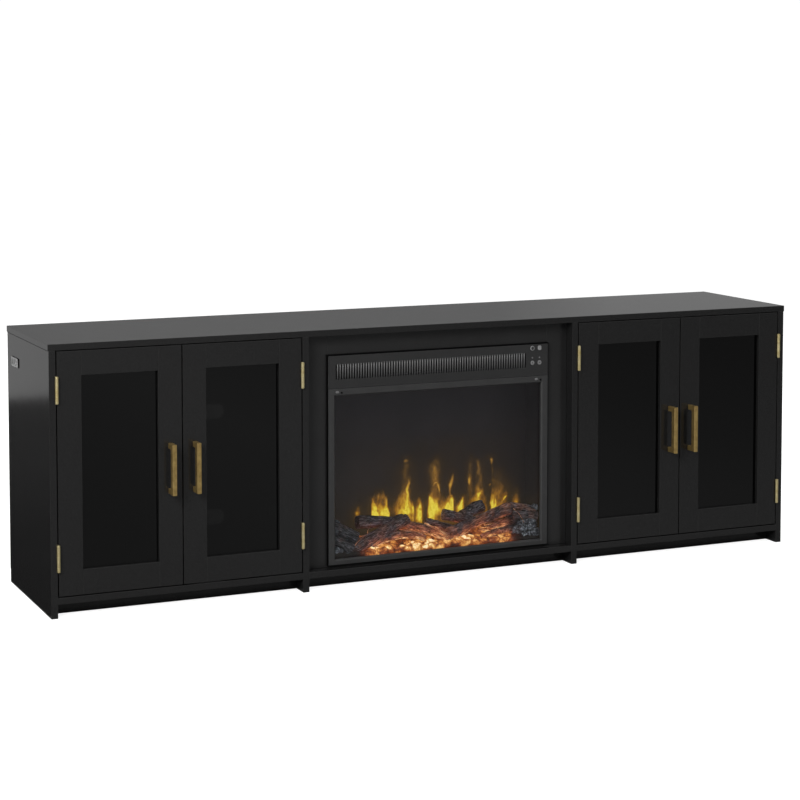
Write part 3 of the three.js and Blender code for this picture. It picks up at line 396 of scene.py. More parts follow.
def log_finish():
    """Charred wood: streaks along the log, coal in patches, and the embers' glow on its underside."""
    f = Finish("charred_log_resin")
    grain = f.noise(170, 6, 0.7, twist=1)
    streak = f.noise(1, 6, 0.68, f.attribute("fibre", "Vector"), 0.5)
    patch = f.noise(26, 4, 0.6)
    wood = f.ramp(streak, (0.36, "#1c0f0a"), (0.46, "#6e3e2a"), (0.56, "#ae7258"), (0.68, "#dcae92"))
    coal = f.ramp(streak, (0.38, "#08080a"), (0.5, "#333237"), (0.6, "#727078"), (0.72, "#aaa8ae"))
    bare = f.math("MULTIPLY", f.span(patch, 0.42, 0.57, 0.04, 1), f.attribute("bark"), clamp=True)
    level = f.times(f.attribute("glow"), f.span(streak, 0.38, 0.62, 0.2, 1.5),
                    f.span(patch, 0.4, 0.58, 0.62, 1.14))
    f.set(base_color=f.mix(bare, coal, wood), roughness=f.middle(grain, 0.5, 0.8), specular=0.4)
    light = f.ramp(level, (0, 0), (0.12, "#2c1008"), (0.3, "#6e3018"), (0.5, "#a86034"),
                   (0.72, "#d2965a"), (1, "#f2d09c"))
    f.set(emission_color=light, emission_strength=0.95)
    f.bump(f.sum(streak, f.times(grain, 0.5)), 0.8, 0.0022)
    return f


def stone_finish():
    f = Finish("dark_hearth_stone")
    grain = f.noise(130, 6, 0.7)
    vein = f.cells(70, "DISTANCE_TO_EDGE")
    base = f.ramp(grain, (0.34, "#121316"), (0.48, "#50545e"), (0.6, "#9a9fab"), (0.74, "#eaeef6"))
    level = f.times(f.attribute("glow"), f.middle(grain, 0.3, 1.3))
    f.set(base_color=f.mix(f.span(vein, 0, 0.12, 0.6, 0), base, "#0d0d0e"))
    f.set(emission_color=f.ramp(level, (0, 0), (0.3, "#2a0d05"), (0.8, "#7a2f10")), emission_strength=0.7)
    f.set(roughness=f.middle(grain, 0.5, 0.75), specular=0.45)
    f.bump(f.sum(grain, vein), 0.7, 0.002)
    return f


BRASS = brass_finish("aged_brass", "#c8ab6c", "#86683a")
CASE = enamel_finish("black_case_steel", "#121212", "#0c0c0c", (0.6, 0.8))
ZINC = zinc_finish("zinc_plated_sheet", "#54585b", "#6a6e71", "#46494c")
LOG = log_finish()
STONE = stone_finish()

# The finish of each CAD node that holds this word in its name, the first that fits.
NODE_FINISHES = {
    "back_panel": hardboard_finish(),
    # The surround's laminate is a lighter copy of the black laminate: painted light against the shade in its
    # recess.
    "fireplace_surround": laminate_finish("surround_laminate_painted_lighter", "#222222", "#282828"),
    "hinge": brass_finish("pale_hinge_brass", "#efe2b0", "#b8a05c"),
    "_handle": BRASS,
    "fireplace_glass": fire_glass_finish(),
    "_glass": door_glass_finish(),
    "glass_frame": enamel_finish("black_enamelled_steel", "#373737", "#323232"),
    "grille_panel": enamel_finish("black_control_panel", "#2b2b2b", "#272727"),
    "firebox_case": CASE,
    # The blower housing's zinc is darker than the plain zinc: painted shade for the inside seen through the
    # slots.
    "blower_housing": zinc_finish("shade_darkened_zinc_sheet", "#26282a", "#323537", "#1e2022"),
    "blower_wheel": CASE,
    "flame_spindle": foil_finish(),
    "flame_screen": screen_finish("smoky_flame_screen", 0.8),
    "charging_station": station_finish(Box("charging_station")),
    "power_button": key_finish("power_button", "ring_key", "#989898", "#2c2c2c", "#161616", 5.7),
    "mode_button": key_finish("mode_button", "square_key", "#7c7c7c", "#8e8e8e", "#808080", 6.0),
    "flame_button": key_finish("flame_button", "flame_button_cap", "#6c6c6c", "#747474", "#505050", 5.7),
    "heat_button": key_finish("heat_button", "heat_button_cap", "#6c6c6c", "#747474", "#505050", 5.7),
    "": laminate_finish("black_laminate_satin", "#1a1a1a", "#202020"),
}
for name, node in nodes.items():
    node.data.materials.clear()
    finish = next(finish for word, finish in NODE_FINISHES.items() if word in name)
    node.data.materials.append(finish.material)


# Noise as numbers
def lattice(cell):
    """A number from 0 to 1 for each whole-numbered cell."""
    mixed = cell[:, 0] * 374761393 + cell[:, 1] * 668265263 + cell[:, 2] * 1440662683
    mixed = (mixed ^ (mixed >> 13)) * 1274126177
    return ((mixed ^ (mixed >> 16)) & 0xFFFFF) / float(0xFFFFF)


def value_noise(points):
    cell = np.floor(points).astype(np.int64)
    part = points - cell
    part = part * part * (3 - 2 * part)
    total = np.zeros(len(points))
    for corner in np.ndindex(2, 2, 2):
        total += np.where(corner, part, 1 - part).prod(1) * lattice(cell + np.array(corner))
    return total


def fractal(points, octaves=4):
    """Noise about 0, from -1 to 1, in the shape that the points have."""
    flat = np.asarray(points, float).reshape(-1, 3)
    total, size, reach = np.zeros(len(flat)), 1.0, 0.0
    for octave in range(octaves):
        total += size * (2 * value_noise(flat * 2 ** octave + 17.3 * octave) - 1)
        reach += size
        size *= 0.5
    return (total / reach).reshape(np.shape(points)[:-1])


def nearest_seed(points):
    """Distance to the nearest of one scattered seed per unit cell."""
    flat = np.asarray(points, float).reshape(-1, 3)
    cell = np.floor(flat).astype(np.int64)
    best = np.full(len(flat), 9.0)
    for step in np.ndindex(3, 3, 3):
        there = cell + np.array(step) - 1
        seed = there + np.stack([lattice(there + 31 * k) for k in (1, 2, 3)], 1)
        best = np.minimum(best, np.linalg.norm(flat - seed, axis=1))
    return best.reshape(np.shape(points)[:-1])


def smooth(value, low, high):
    share = np.clip((value - low) / (high - low), 0, 1)
    return share * share * (3 - 2 * share)


# Mesh helpers, in millimetres
def grid_faces(rows, columns, closed=False):
    last = columns if closed else columns - 1
    return [(r * columns + c, r * columns + (c + 1) % columns, (r + 1) * columns + (c + 1) % columns,
             (r + 1) * columns + c) for r in range(rows - 1) for c in range(last)]


def loft(rings, first_cap=True, last_cap=True):
    """Rings of points, joined one to the next and capped, as (points, faces)."""
    rows, count = len(rings), len(rings[0])
    faces = grid_faces(rows, count, closed=True)
    caps = [tuple(range(count))[::-1]] * first_cap
    caps += [tuple(range((rows - 1) * count, rows * count))] * last_cap
    return [tuple(point) for ring in rings for point in ring], faces + caps


def rounded(half_a, half_b, power, sides):
    """Points round an ellipse, or round a rounded rectangle where the power is under 1."""
    turns = [2 * math.pi * s / sides for s in range(sides)]
    return [(half_a * math.copysign(abs(math.cos(t)) ** power, math.cos(t)),
             half_b * math.copysign(abs(math.sin(t)) ** power, math.sin(t))) for t in turns]


def turned(profile, sides, x, z):
    """A turned form round a line along y: the profile is (radius, y) from one end to the other."""
    return loft([[(x + a, y, z + b) for a, b in rounded(radius, radius, 1, sides)] for radius, y in profile])


def piece(name, parts, finish, slot, body="stand", flat=False, outward=True, **attributes):
    """One object from parts, each (points, faces). Faces are turned outward, but not on an open sheet."""
    points, faces = [], []
    for more_points, more_faces in parts:
        faces += [tuple(k + len(points) for k in face) for face in more_faces]
        points.extend(more_points)
    data = bpy.data.meshes.new(name)
    data.from_pydata([tuple(p) for p in np.array(points) * MM], [], faces)
    data.validate()
    data.update()
    if not flat:
        data.shade_smooth()
    for label, values in attributes.items():
        kept = data.attributes.new(label, "FLOAT_VECTOR" if values.ndim == 2 else "FLOAT", "POINT")
        kept.data.foreach_set("vector" if values.ndim == 2 else "value", values.astype(np.float32).ravel())
    if outward:
        work = bmesh.new()
        work.from_mesh(data)
        bmesh.ops.recalc_face_normals(work, faces=work.faces)
        work.to_mesh(data)
        work.free()
    data.materials.append(finish.material)
    made = placed(name, data)
    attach(made, body)
    return made


# The fire, in millimetres, in places that follow the case
SCREEN = Box("flame_screen")
HEARTH = Box("ember_bed")
INNER_HALF = SCREEN.x1 + 0.3
HEARTH_Y = HEARTH.y0
HEARTH_Z = HEARTH.z0 - 0.3
BED_DEPTH, BED_FRONT, BED_RISE = 78.0, 12, 22
PILE = 100.0
LINER, LINER_GAP, GLASS_GAP, SCREEN_GAP = 0.7, 0.5, 0.3, 0.6
ROOM_HALF = INNER_HALF - LINER - LINER_GAP
GLOW_MIDDLE, GLOW_HALF, GLOW_REACH = 8, 240, 36.0


def bed_rise(back_share):
    return BED_FRONT + BED_RISE * np.clip(back_share, 0, 1) ** 0.8


def bed_share(points):
    return (points[..., 1] - HEARTH_Y) / BED_DEPTH


# Hot places in the bed: across, share of the way back, reach and heat.
HOT_SPOTS = [(-172, 0.10, 20, 0.95), (-128, 0.10, 26, 0.9), (-100, 0.15, 18, 0.75), (-70, 0.12, 24, 0.95),
             (-24, 0.22, 30, 1.25), (14, 0.12, 20, 0.8), (42, 0.3, 30, 1.1), (88, 0.22, 30, 1.0),
             (128, 0.15, 22, 0.7), (150, 0.3, 22, 0.85), (190, 0.2, 24, 0.95)]


def build_embers():
    """The bed of coals: domed lumps on top, and a straight front that the glass stands before."""
    columns, rows, levels, inset = 237, 33, 4, 0.2
    coal_size, crumb_size, rough_size = 19.0, 7.0, 11.0
    coal_height, crumb_height, rough_height = 7.5, 2.0, 1.8
    floor, least = HEARTH_Z + 0.35, HEARTH_Z + 2.0
    gx, gy = np.meshgrid(np.linspace(-ROOM_HALF, ROOM_HALF, columns),
                         np.linspace(HEARTH_Y + inset, HEARTH_Y + BED_DEPTH - inset, rows))
    flat = np.stack([gx, gy, np.zeros(gx.shape)], 2)
    share = bed_share(flat)
    dome = np.sqrt(np.clip(1 - (nearest_seed(flat / coal_size) / 0.78) ** 2, 0, 1))
    crumb = nearest_seed(flat / crumb_size + 5.1)
    height = HEARTH_Z + bed_rise(share) + coal_height * (dome - 0.55) + crumb_height * (0.5 - crumb)
    height = np.maximum(height + rough_height * fractal(flat / rough_size), least)
    heat = np.full(gx.shape, 0.42)
    for across, back, size, strength in HOT_SPOTS:
        away = ((gx - across) / size) ** 2 + ((share - back) * BED_DEPTH / (size * 0.95)) ** 2
        heat = np.maximum(heat, strength * np.exp(-away * 0.7))
    heat *= smooth(np.abs(gx - GLOW_MIDDLE), GLOW_HALF - 5, 198) * (0.5 + 0.68 * dome)
    top = np.stack([gx, gy, height], 2)
    falls = np.arange(1, levels + 1)[:, None] / levels
    front, back = top[:1].repeat(levels, 0), top[-1:].copy()
    front[..., 2] += (floor - front[..., 2]) * falls
    back[..., 2] = floor
    rings = np.concatenate([top, back, front[::-1]]).transpose(1, 0, 2)
    hot = np.concatenate([heat, np.full((1, columns), 0.1), heat[:1] * (1 - 0.25 * falls[::-1])]).T.ravel()
    made = piece("ember_lumps", [loft(rings)], ember_finish(), "ember_resin", hot=hot)
    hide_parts("ember_bed")


# Each log's two ends as shares of the hearth across, back and up, its thickness, bow and bark shares.
LOGS = [
    ((-0.88, 0.20, 0.06), (-0.24, 0.53, 0.78), 1.02, 0.02, 0.35),
    ((-0.70, 0.76, 0.76), (-0.34, 0.68, 0.68), 1.05, 0.02, 0.1),
    ((-0.44, 0.66, 0.62), (-0.26, 0.64, 0.78), 0.85, 0.02, 0.1),
    ((-0.30, 0.60, 0.62), (0.16, 0.32, 0.22), 0.85, 0.10, 1.0),
    ((-0.62, 0.20, 0.20), (-0.10, 0.28, 0.28), 0.60, 0.36, 1.0),
    ((0.14, 0.28, 0.32), (0.80, 0.62, 0.78), 1.05, 0.05, 0.92),
    ((0.14, 0.74, 0.76), (0.40, 0.60, 0.56), 0.95, 0.02, 0.3),
    ((0.32, 0.66, 0.70), (0.54, 0.82, 0.88), 1.05, 0.02, 0.1),
    ((0.46, 0.26, 0.14), (0.88, 0.44, 0.26), 0.62, 0.10, 0.5),
    ((0.80, 0.60, 0.82), (1.02, 0.34, 0.70), 0.80, 0.05, 0.5),
    ((-1.01, 0.52, 0.80), (-0.76, 0.18, 0.46), 1.00, 0.04, 0.0),
    ((-1.00, 0.16, 0.52), (-0.82, 0.12, 0.20), 0.90, 0.02, 0.0),
    ((0.80, 0.40, 0.62), (1.02, 0.20, 0.56), 0.85, 0.04, 0.15),
    ((-0.04, 0.66, 0.61), (0.24, 0.64, 0.36), 0.66, 0.03, 0.25),
    ((0.57, 0.55, 0.34), (0.88, 0.58, 0.47), 0.62, 0.03, 0.75),
]
LOG_DIAMETER = 30.0
# Each stone's place as shares of the hearth across, back and up, and its size share.
STONES = [
    (-0.90, 0.40, 0.22, 1.0), (-0.90, 0.72, 0.50, 1.2), (-0.76, 0.58, 0.36, 0.9), (-0.94, 0.58, 0.76, 0.9),
    (0.84, 0.36, 0.22, 0.9), (0.92, 0.64, 0.46, 1.15), (0.84, 0.80, 0.62, 1.0), (-0.95, 0.24, 0.16, 0.95),
    (-0.86, 0.16, 0.10, 0.7), (-0.99, 0.26, 0.66, 0.8), (-0.78, 0.26, 0.24, 0.75), (0.95, 0.26, 0.40, 1.05),
    (1.00, 0.20, 0.16, 0.9), (0.86, 0.16, 0.30, 0.7), (1.02, 0.34, 0.80, 0.6), (0.90, 0.14, 0.12, 0.6),
]
STONE_DIAMETER = 40.0


def hearth_point(across, back, up):
    half = INNER_HALF - STONE_DIAMETER / 4
    return np.array([across * half, HEARTH_Y + back * BED_DEPTH, HEARTH_Z + up * PILE])


def held_in(points):
    """Keeps points inside the room between the glass and the screen."""
    points[..., 0] = np.clip(points[..., 0], -ROOM_HALF, ROOM_HALF)
    points[..., 1] = np.clip(points[..., 1], HEARTH_Y + GLASS_GAP, SCREEN.y0 - SCREEN_GAP)
    return points


def warmth(points):
    """How strongly the embers below light a point, from its height over the bed and its place across."""
    over = points[..., 2] - HEARTH_Z - bed_rise(bed_share(points))
    near = np.exp(-np.clip(over, 0, 90) / GLOW_REACH)
    return near * smooth(np.abs(points[..., 0] - GLOW_MIDDLE), GLOW_HALF, 185)


def unit(vectors):
    return vectors / np.linalg.norm(vectors, axis=-1, keepdims=True)


def round_about(along, sides):
    """Directions round each of some lines, with the cosine and sine of each turn."""
    across = unit(np.cross((0, 0, 1), along))
    up = np.cross(along, across)
    turn = 2 * math.pi * np.arange(sides) / sides
    cosine, sine = np.cos(turn), np.sin(turn)
    return across[:, None] * cosine[:, None] + up[:, None] * sine[:, None], cosine, sine


def build_log(number, start, end, thick, bow, bark):
    """A bowed log: rings round a curve, swollen by bark, and rough cut ends of smaller rings."""
    rings, sides, end_shares = 64, 40, (0.8, 0.5, 0.2)
    start, end = hearth_point(*start), hearth_point(*end)
    middle = (start + end) / 2 + np.array([0, 0, bow * PILE])
    t = np.linspace(0, 1, rings)[:, None]
    centre = (1 - t) ** 2 * start + 2 * t * (1 - t) * middle + t ** 2 * end
    way, cosine, sine = round_about(unit((1 - t) * (middle - start) + t * (end - middle)), sides)
    girth = thick * LOG_DIAMETER / 2 * (1 + 0.08 * np.sin(5 * t + start[0]))
    length = t * np.linalg.norm(end - start)

    def wound(lengthwise, reach):
        shape = np.ones((rings, sides))
        return np.stack([lengthwise * shape, reach * cosine * shape, reach * sine * shape], 2)

    wrap = wound(length / 26, 2.6) + 3.7 * number
    ridge = 1 - np.abs(fractal(wrap * (0.5, 2.2, 2.2))) * 2.2
    plates = fractal(wrap * (1.3, 1.0, 1.0) + 9.0, 3)
    splits = np.abs(fractal(wrap * (0.35, 3.4, 3.4) + 21.0, 3))
    swell = 2.0 * ridge + 2.4 * plates - 1.6 * (1 - smooth(splits, 0.0, 0.16)) - 1.4
    trunk = centre[:, None] + way * (girth + swell)[:, :, None]
    heart = trunk[rings // 2].mean(0)

    def cut_end(rim):
        middle_of = rim.mean(0)
        inward = unit(heart - middle_of)
        for share in end_shares:
            ring = middle_of + (rim - middle_of) * share
            yield ring + inward * (1.2 * math.sin(share * 9) + 0.8 * fractal(ring / 6.0, 2))[:, None]

    def with_ends(values):
        return np.pad(values, [(len(end_shares),) * 2] + [(0, 0)] * (values.ndim - 1), "edge")

    points = held_in(np.concatenate([list(cut_end(trunk[0]))[::-1], trunk, list(cut_end(trunk[-1]))]))
    facing = np.clip(0.55 - 0.6 * with_ends(sine * np.ones((rings, 1))), 0, 1)
    glow = warmth(points) * (0.3 + facing) * (0.8 + 0.5 * fractal(points / 17.0, 3)) * (0.45 + 0.55 * bark)
    rind = np.clip(bark + 0.5 * fractal(points / 24.0 + 2.0, 3), 0, 1)
    fibre = with_ends(wound(length / 15.0, girth / 2.2))
    for ends in (slice(None, len(end_shares)), slice(-len(end_shares), None)):
        fibre[ends] = points[ends] / 3.0
    return piece("log_%d" % number, [loft(points)], LOG, "log_resin", glow=np.clip(glow, 0, 1).ravel(),
                 bark=rind.ravel(), fibre=(fibre + 5.3 * number).reshape(-1, 3))


def build_stone(number, across, back, up, size):
    columns, rows = 72, 44
    polar = math.pi * (np.arange(rows)[::-1, None] + 0.5) / rows
    turn = 2 * math.pi * np.arange(columns) / columns
    way = np.broadcast_arrays(np.sin(polar) * np.cos(turn), np.sin(polar) * np.sin(turn), np.cos(polar))
    way = np.stack(way, 2)
    facet = nearest_seed(way * 1.4 + 7.7 * number)
    pits = nearest_seed(way * 5.0 + 3.3 * number)
    spread = 0.95 + 0.34 * (facet - 0.5) + 0.16 * fractal(way * 2.6 + number, 5) + 0.09 * (0.5 - pits)
    body = way * (size * STONE_DIAMETER / 2 * spread)[:, :, None] * (1, 1, 0.8)
    body = held_in(body + hearth_point(across, back, up))
    piece("stone_%d" % number, [loft(body)], STONE, "log_resin", glow=np.clip(warmth(body), 0, 1).ravel())


# Each twig's two ends, with heights over the hearth, and its radius.
TWIGS = [
    ((-36, -112, 50), (24, -132, 34), 2.0), ((-28, -106, 54), (40, -128, 36), 1.6),
    ((-14, -104, 56), (52, -134, 33), 2.2), ((0, -110, 50), (60, -130, 36), 1.4),
    ((-60, -108, 48), (-10, -128, 38), 1.6), ((118, -126, 34), (158, -132, 35), 2.2),
    ((132, -118, 40), (176, -122, 38), 1.5), ((150, -112, 46), (214, -118, 44), 1.4),
    ((-168, -126, 34), (-132, -134, 30), 1.6), ((70, -138, 30), (104, -130, 36), 1.5),
    ((-8, -116, 46), (6, -136, 33), 1.6), ((158, -108, 52), (196, -124, 40), 1.3),
    ((-234, -145, 26), (-186, -134, 60), 1.1), ((-188, -134, 58), (-176, -128, 84), 1.0),
    ((-24, -132, 66), (34, -144, 30), 1.6), ((-18, -130, 62), (48, -145, 24), 1.4),
    ((-28, -128, 70), (12, -140, 44), 1.8), ((-2, -136, 60), (40, -146, 26), 1.2),
    ((131, -144, 21), (173, -144, 20), 1.7), ((162, -138, 46), (186, -143, 28), 1.3),
    ((222, -136, 88), (250, -140, 50), 0.9),
]


def build_kindling():
    """Split twigs lying on the embers, lit from below."""
    sides, rings, arch, sway, sunk = 7, 12, 3.2, 1.4, 4
    t = np.linspace(0, 1, rings)[:, None]
    parts, glow, fibre = [], [], []
    for k, (start, end, radius) in enumerate(TWIGS):
        run = np.subtract(end, start, dtype=float)
        way, cosine, sine = round_about(unit(run)[None], sides)
        across, up = way[0, 0], np.cross(unit(run), way[0, 0])
        middle = start + run * t + up * arch * np.sin(math.pi * t) + across * sway * np.sin(7 * t + k)
        bed = bed_rise(bed_share(middle)) + 0.5
        middle[:, 2] = HEARTH_Z + np.maximum(middle[:, 2] - sunk, bed)
        girth = radius * (1 - 0.55 * t) * (0.85 + 0.3 * np.sin(11 * t + 2 * k))
        parts.append(loft(held_in(middle[:, None] + girth[:, :, None] * way)))
        ones = np.ones((rings, sides))
        glow.append((0.62 + 0.3 * np.sin(6 * t + 2 * k)) * ones)
        fibre.append(np.stack([(4 * t + k) * ones, 2 * cosine * ones, 2 * sine * ones], 2))
    piece("kindling", parts, LOG, "log_resin", glow=np.ravel(glow), bark=np.ones(np.size(glow)),
          fibre=np.reshape(fibre, (-1, 3)))


# Tongues of flame on the screen, read from the photograph. Each has how hard its left and right
# edges are, and then, from the bottom up, its middle across, height, half width and heat.
TONGUES = [
    (8, 6, [(-188, 138, 8, 0.25), (-186, 158, 8, 0.62), (-183, 174, 3, 0.1)]),
    (45, 45, [(-120, 135, 26, 0.66), (-121, 155, 25, 0.6), (-124, 183, 20, 0.36), (-124, 215, 12, 0.06)]),
    (40, 12, [(-134, 142, 11, 1.0), (-138, 167, 8, 1.0), (-141, 182, 4, 0.8), (-143, 193, 2, 0.1)]),
    (10, 34, [(-112, 136, 17, 1.0), (-110, 148, 16, 1.05), (-106, 164, 6, 0.72), (-105, 182, 4, 0.6),
              (-104, 197, 1, 0.0)]),
    (5, 5, [(-128, 185, 2, 0.3), (-126, 198, 2, 0.36), (-123, 210, 2, 0.1)]),
    (7, 14, [(-55, 129, 27, 0.5), (-56, 160, 25, 0.53), (-57, 185, 18, 0.46), (-52, 209, 10, 0.24)]),
    (5, 12, [(-48, 132, 13, 0.9), (-50, 147, 12, 1.0), (-47, 172, 6, 0.7), (-44, 195, 4, 0.5),
             (-46, 202, 4, 0.72), (-47, 212, 2, 0.4)]),
    (5, 9, [(-47, 207, 5, 0.5), (-40, 222, 4, 0.6), (-40, 236, 2, 0.05)]),
    (4, 6, [(-50, 200, 18, 0.18), (-50, 273, 17, 0.15), (-47, 294, 6, 0.0)]),
    (5, 6, [(-51, 276, 6, 0.1), (-49, 281, 9, 0.48), (-47, 287, 6, 0.1)]),
    (6, 9, [(-30, 115, 4, 0.3), (-30, 140, 5, 0.55), (-30, 158, 4, 0.62), (-32, 177, 2, 0.05)]),
    (5, 18, [(-12, 113, 8, 0.5), (-12, 132, 10, 0.62), (-12, 157, 8, 0.55), (-11, 184, 3, 0.1)]),
    (8, 22, [(-12, 120, 2, 0.7), (-9, 132, 5, 1.0), (-9, 146, 5, 1.1), (-12, 170, 2, 0.4)]),
    (46, 6, [(38, 121, 26, 0.46), (39, 140, 28, 0.5), (35, 174, 20, 0.4), (35, 196, 14, 0.16)]),
    (40, 7, [(24, 126, 10, 0.85), (24, 141, 10, 1.0), (25, 157, 10, 1.0), (21, 180, 5, 0.6),
             (18, 188, 2, 0.05)]),
    (6, 7, [(28, 209, 2, 0.3), (31, 216, 3, 0.55), (36, 219, 6, 0.62)]),
    (7, 8, [(47, 188, 2, 0.1), (46, 196, 2, 0.5), (43, 208, 3, 0.5), (39, 217, 4, 0.5)]),
    (6, 6, [(35, 184, 14, 0.2), (31, 225, 15, 0.29), (31, 250, 17, 0.36), (34, 273, 12, 0.23),
            (38, 295, 4, 0.0)]),
    (5, 34, [(72, 131, 15, 0.5), (73, 155, 14, 0.6), (76, 174, 10, 0.42), (77, 183, 5, 0.25)]),
    (10, 36, [(74, 131, 12, 1.0), (74, 150, 12, 1.1), (76, 160, 10, 1.1), (80, 169, 6, 0.95),
              (82, 177, 2, 0.4)]),
    (6, 7, [(77, 180, 2, 0.3), (76, 193, 3, 0.32), (78, 210, 5, 0.6), (82, 223, 4, 0.4), (86, 243, 2, 0.05)]),
    (4, 16, [(104, 134, 12, 0.45), (105, 150, 12, 0.6), (113, 177, 2, 0.1)]),
    (8, 14, [(105, 137, 6, 0.8), (106, 150, 6, 1.05), (112, 166, 3, 0.8), (113, 173, 2, 0.45)]),
    (7, 9, [(154, 130, 32, 0.36), (156, 158, 24, 0.42), (159, 181, 14, 0.38), (160, 195, 11, 0.25),
            (160, 261, 8, 0.2), (153, 274, 5, 0.0)]),
    (6, 8, [(155, 167, 3, 0.4), (160, 179, 6, 0.8), (164, 184, 3, 0.4)]),
    (5, 5, [(172, 144, 5, 0.5), (167, 173, 4, 0.4)]),
    (6, 6, [(160, 244, 2, 0.1), (157, 256, 4, 0.42), (153, 271, 2, 0.0)]),
    (8, 7, [(132, 204, 2, 0.2), (131, 212, 4, 0.58), (132, 221, 4, 0.55), (133, 228, 2, 0.2)]),
    (3, 3, [(136, 175, 10, 0.18), (134, 231, 8, 0.14), (136, 259, 8, 0.16), (139, 289, 4, 0.0)]),
    (30, 7, [(214, 125, 20, 0.46), (216, 150, 24, 0.47), (219, 181, 24, 0.27), (220, 200, 22, 0.17),
             (217, 250, 14, 0.0)]),
    (34, 8, [(202, 132, 8, 0.85), (202, 143, 7, 0.85), (198, 164, 2, 0.34)]),
    (8, 8, [(209, 141, 4, 0.8), (209, 156, 2, 0.85), (208, 173, 2, 0.1)]),
    (5, 12, [(226, 152, 5, 0.55), (238, 166, 3, 0.75), (241, 170, 2, 0.1)]),
    (7, 7, [(198, 248, 2, 0.1), (196, 266, 5, 0.5), (194, 274, 4, 0.1)]),
    (3, 3, [(200, 208, 4, 0.14), (199, 248, 3, 0.15)]),
    (4, 4, [(192, 196, 3, 0.1), (193, 201, 4, 0.38), (195, 205, 2, 0.1)]),
    (5, 6, [(270, 126, 13, 0.3), (270, 150, 13, 0.4), (270, 171, 10, 0.14), (270, 189, 7, 0.04)]),
    (6, 8, [(270, 136, 4, 0.5), (270, 144, 4, 0.72), (272, 155, 2, 0.0)]),
]


def build_flames():
    """The light of the flames, on a sheet just in front of the screen."""
    left_end, right_end, low, high, step = -232, 292, 102, 360, 1.6
    left_fade, right_fade, top_fade, sheet_gap = 27, 23, 41, 0.45
    gx, gz = np.meshgrid(np.arange(left_end, right_end, step), np.arange(low, high, step))
    flat = np.stack([gx, gz, np.zeros(gx.shape)], 2)
    sway = fractal(flat / (17.0, 28.0, 1.0), 3) * 2.0
    lick = fractal(flat / (7.5, 15.0, 1.0) + 4.0, 3)
    patch = fractal(flat / (12.0, 14.0, 1.0) + 11.0, 3)
    glow, halo = np.zeros(gx.shape), np.zeros(gx.shape)
    for left, right, spine in TONGUES:
        middles, heights, halves, heats = np.array(spine, float).T
        below = heats[0] * 0.6
        middle = np.interp(gz, heights, middles)
        half = np.interp(gz, heights, halves)
        heat = np.interp(gz, heights, heats, left=below, right=0.0) * smooth(gz, heights[0] - 14, heights[0])
        hard = np.where(gx < middle, left, right)
        off = np.abs(gx + sway * np.clip(4.0 / hard, 0, 1.0) - middle) / np.maximum(half, 0.5)
        soft = np.exp(-np.clip(off, 0, 6) ** 2 * 1.1)
        sharp = 1 - smooth(off, 1 - 2.2 / np.maximum(half, 2.2), 1 + 1.6 / np.maximum(half, 1.6))
        blend = np.clip((hard - 5.0) / 14.0, 0, 1)
        value = heat * (soft * (1 - blend) + sharp * blend) * (0.92 + 0.5 * lick + 0.65 * patch)
        glow = np.maximum(glow, value) + 0.1 * np.minimum(glow, value)
        around = np.interp(gz - 10, heights, heats, left=below, right=0.0)
        halo = np.maximum(halo, around * np.exp(-((gx - middle) / (half * 1.3 + 9)) ** 2) * (1 + 0.5 * lick))
    wide = np.exp(-((gx - 60) / 200) ** 2) * np.exp(-np.clip(gz - 120, 0, 400) / 130)
    haze = 0.22 * halo + 0.17 * wide * (1 + 0.6 * fractal(flat / (26, 60, 1.0), 3))
    edge = smooth(gx, left_end, left_end + left_fade) * smooth(gx, right_end - 1, right_end - 1 - right_fade)
    edge *= smooth(gz, high - 1, high - 1 - top_fade)
    glow = np.clip((glow + haze) * edge, 0, 1)
    shown = glow > 0.004
    lit = shown[:-1, :-1] | shown[:-1, 1:] | shown[1:, :-1] | shown[1:, 1:]
    columns = gx.shape[1]
    corners = np.flatnonzero(np.pad(lit, ((0, 1), (0, 1))))[:, None] + (0, 1, columns + 1, columns)
    used, faces = np.unique(corners, return_inverse=True)
    points = np.stack([gx, np.full(gx.shape, SCREEN.y0 - sheet_gap), gz], 2).reshape(-1, 3)[used]
    piece("flame_light", [(points, faces.reshape(-1, 4).tolist())], flame_finish(), "smoke_screen",
          outward=False, glow=glow.ravel()[used])


# Small fittings, in millimetres
PANEL = Box("grille_panel")
SLOT_COUNT, SLOT_PITCH, SLOT_WIDTH, SLOT_HEIGHT, SLOT_MARGIN, SLOT_DROP = 76, 7.0, 3.4, 37.5, 19.5, 22.0


def build_grille_bars():
    """Crowned bars between the grille's slots."""
    levels, arc, overlap, gap = 11, 6, 1.2, 0.15
    first_slot, high = PANEL.x0 + SLOT_MARGIN, PANEL.z1 - SLOT_DROP
    low, face = high - SLOT_HEIGHT, PANEL.y0 - 0.05
    half = (SLOT_PITCH - SLOT_WIDTH) / 2
    turns = [math.pi * a / arc for a in range(arc + 1)]
    parts = []
    for k in range(1, SLOT_COUNT):
        middle = first_slot + k * SLOT_PITCH - half
        points = []
        for up in (level / (levels - 1) for level in range(levels)):
            z = low - overlap + (SLOT_HEIGHT + 2 * overlap) * up
            rise = 0.45 * min(1.0, 12 * min(up, 1 - up)) + 2.0 * up * (1 - up)
            points += [(middle - (half - gap) * math.cos(t), face - rise * math.sin(t) ** 0.8, z)
                       for t in turns]
        parts.append((points, grid_faces(levels, arc + 1)))
    piece("grille_bars", parts, bar_finish(low - 0.5, high), "black_metal", outward=False)


def build_lamps():
    """Domed lenses in the control panel's two lamp holes."""
    column_inset, column_pitch, drop = 24.1, 20.6, 34.5
    dome = ((2.1, 1.6), (2.1, 0.2), (2.0, -0.3), (1.5, -0.75), (0.8, -0.98), (0.2, -1.05))
    profile = [(radius, PANEL.y0 + back) for radius, back in dome]
    parts = [turned(profile, 20, PANEL.x1 - column_inset - k * column_pitch, PANEL.z1 - drop) for k in (1, 0)]
    piece("indicator_lenses", parts, lens_finish(), "soft_key")


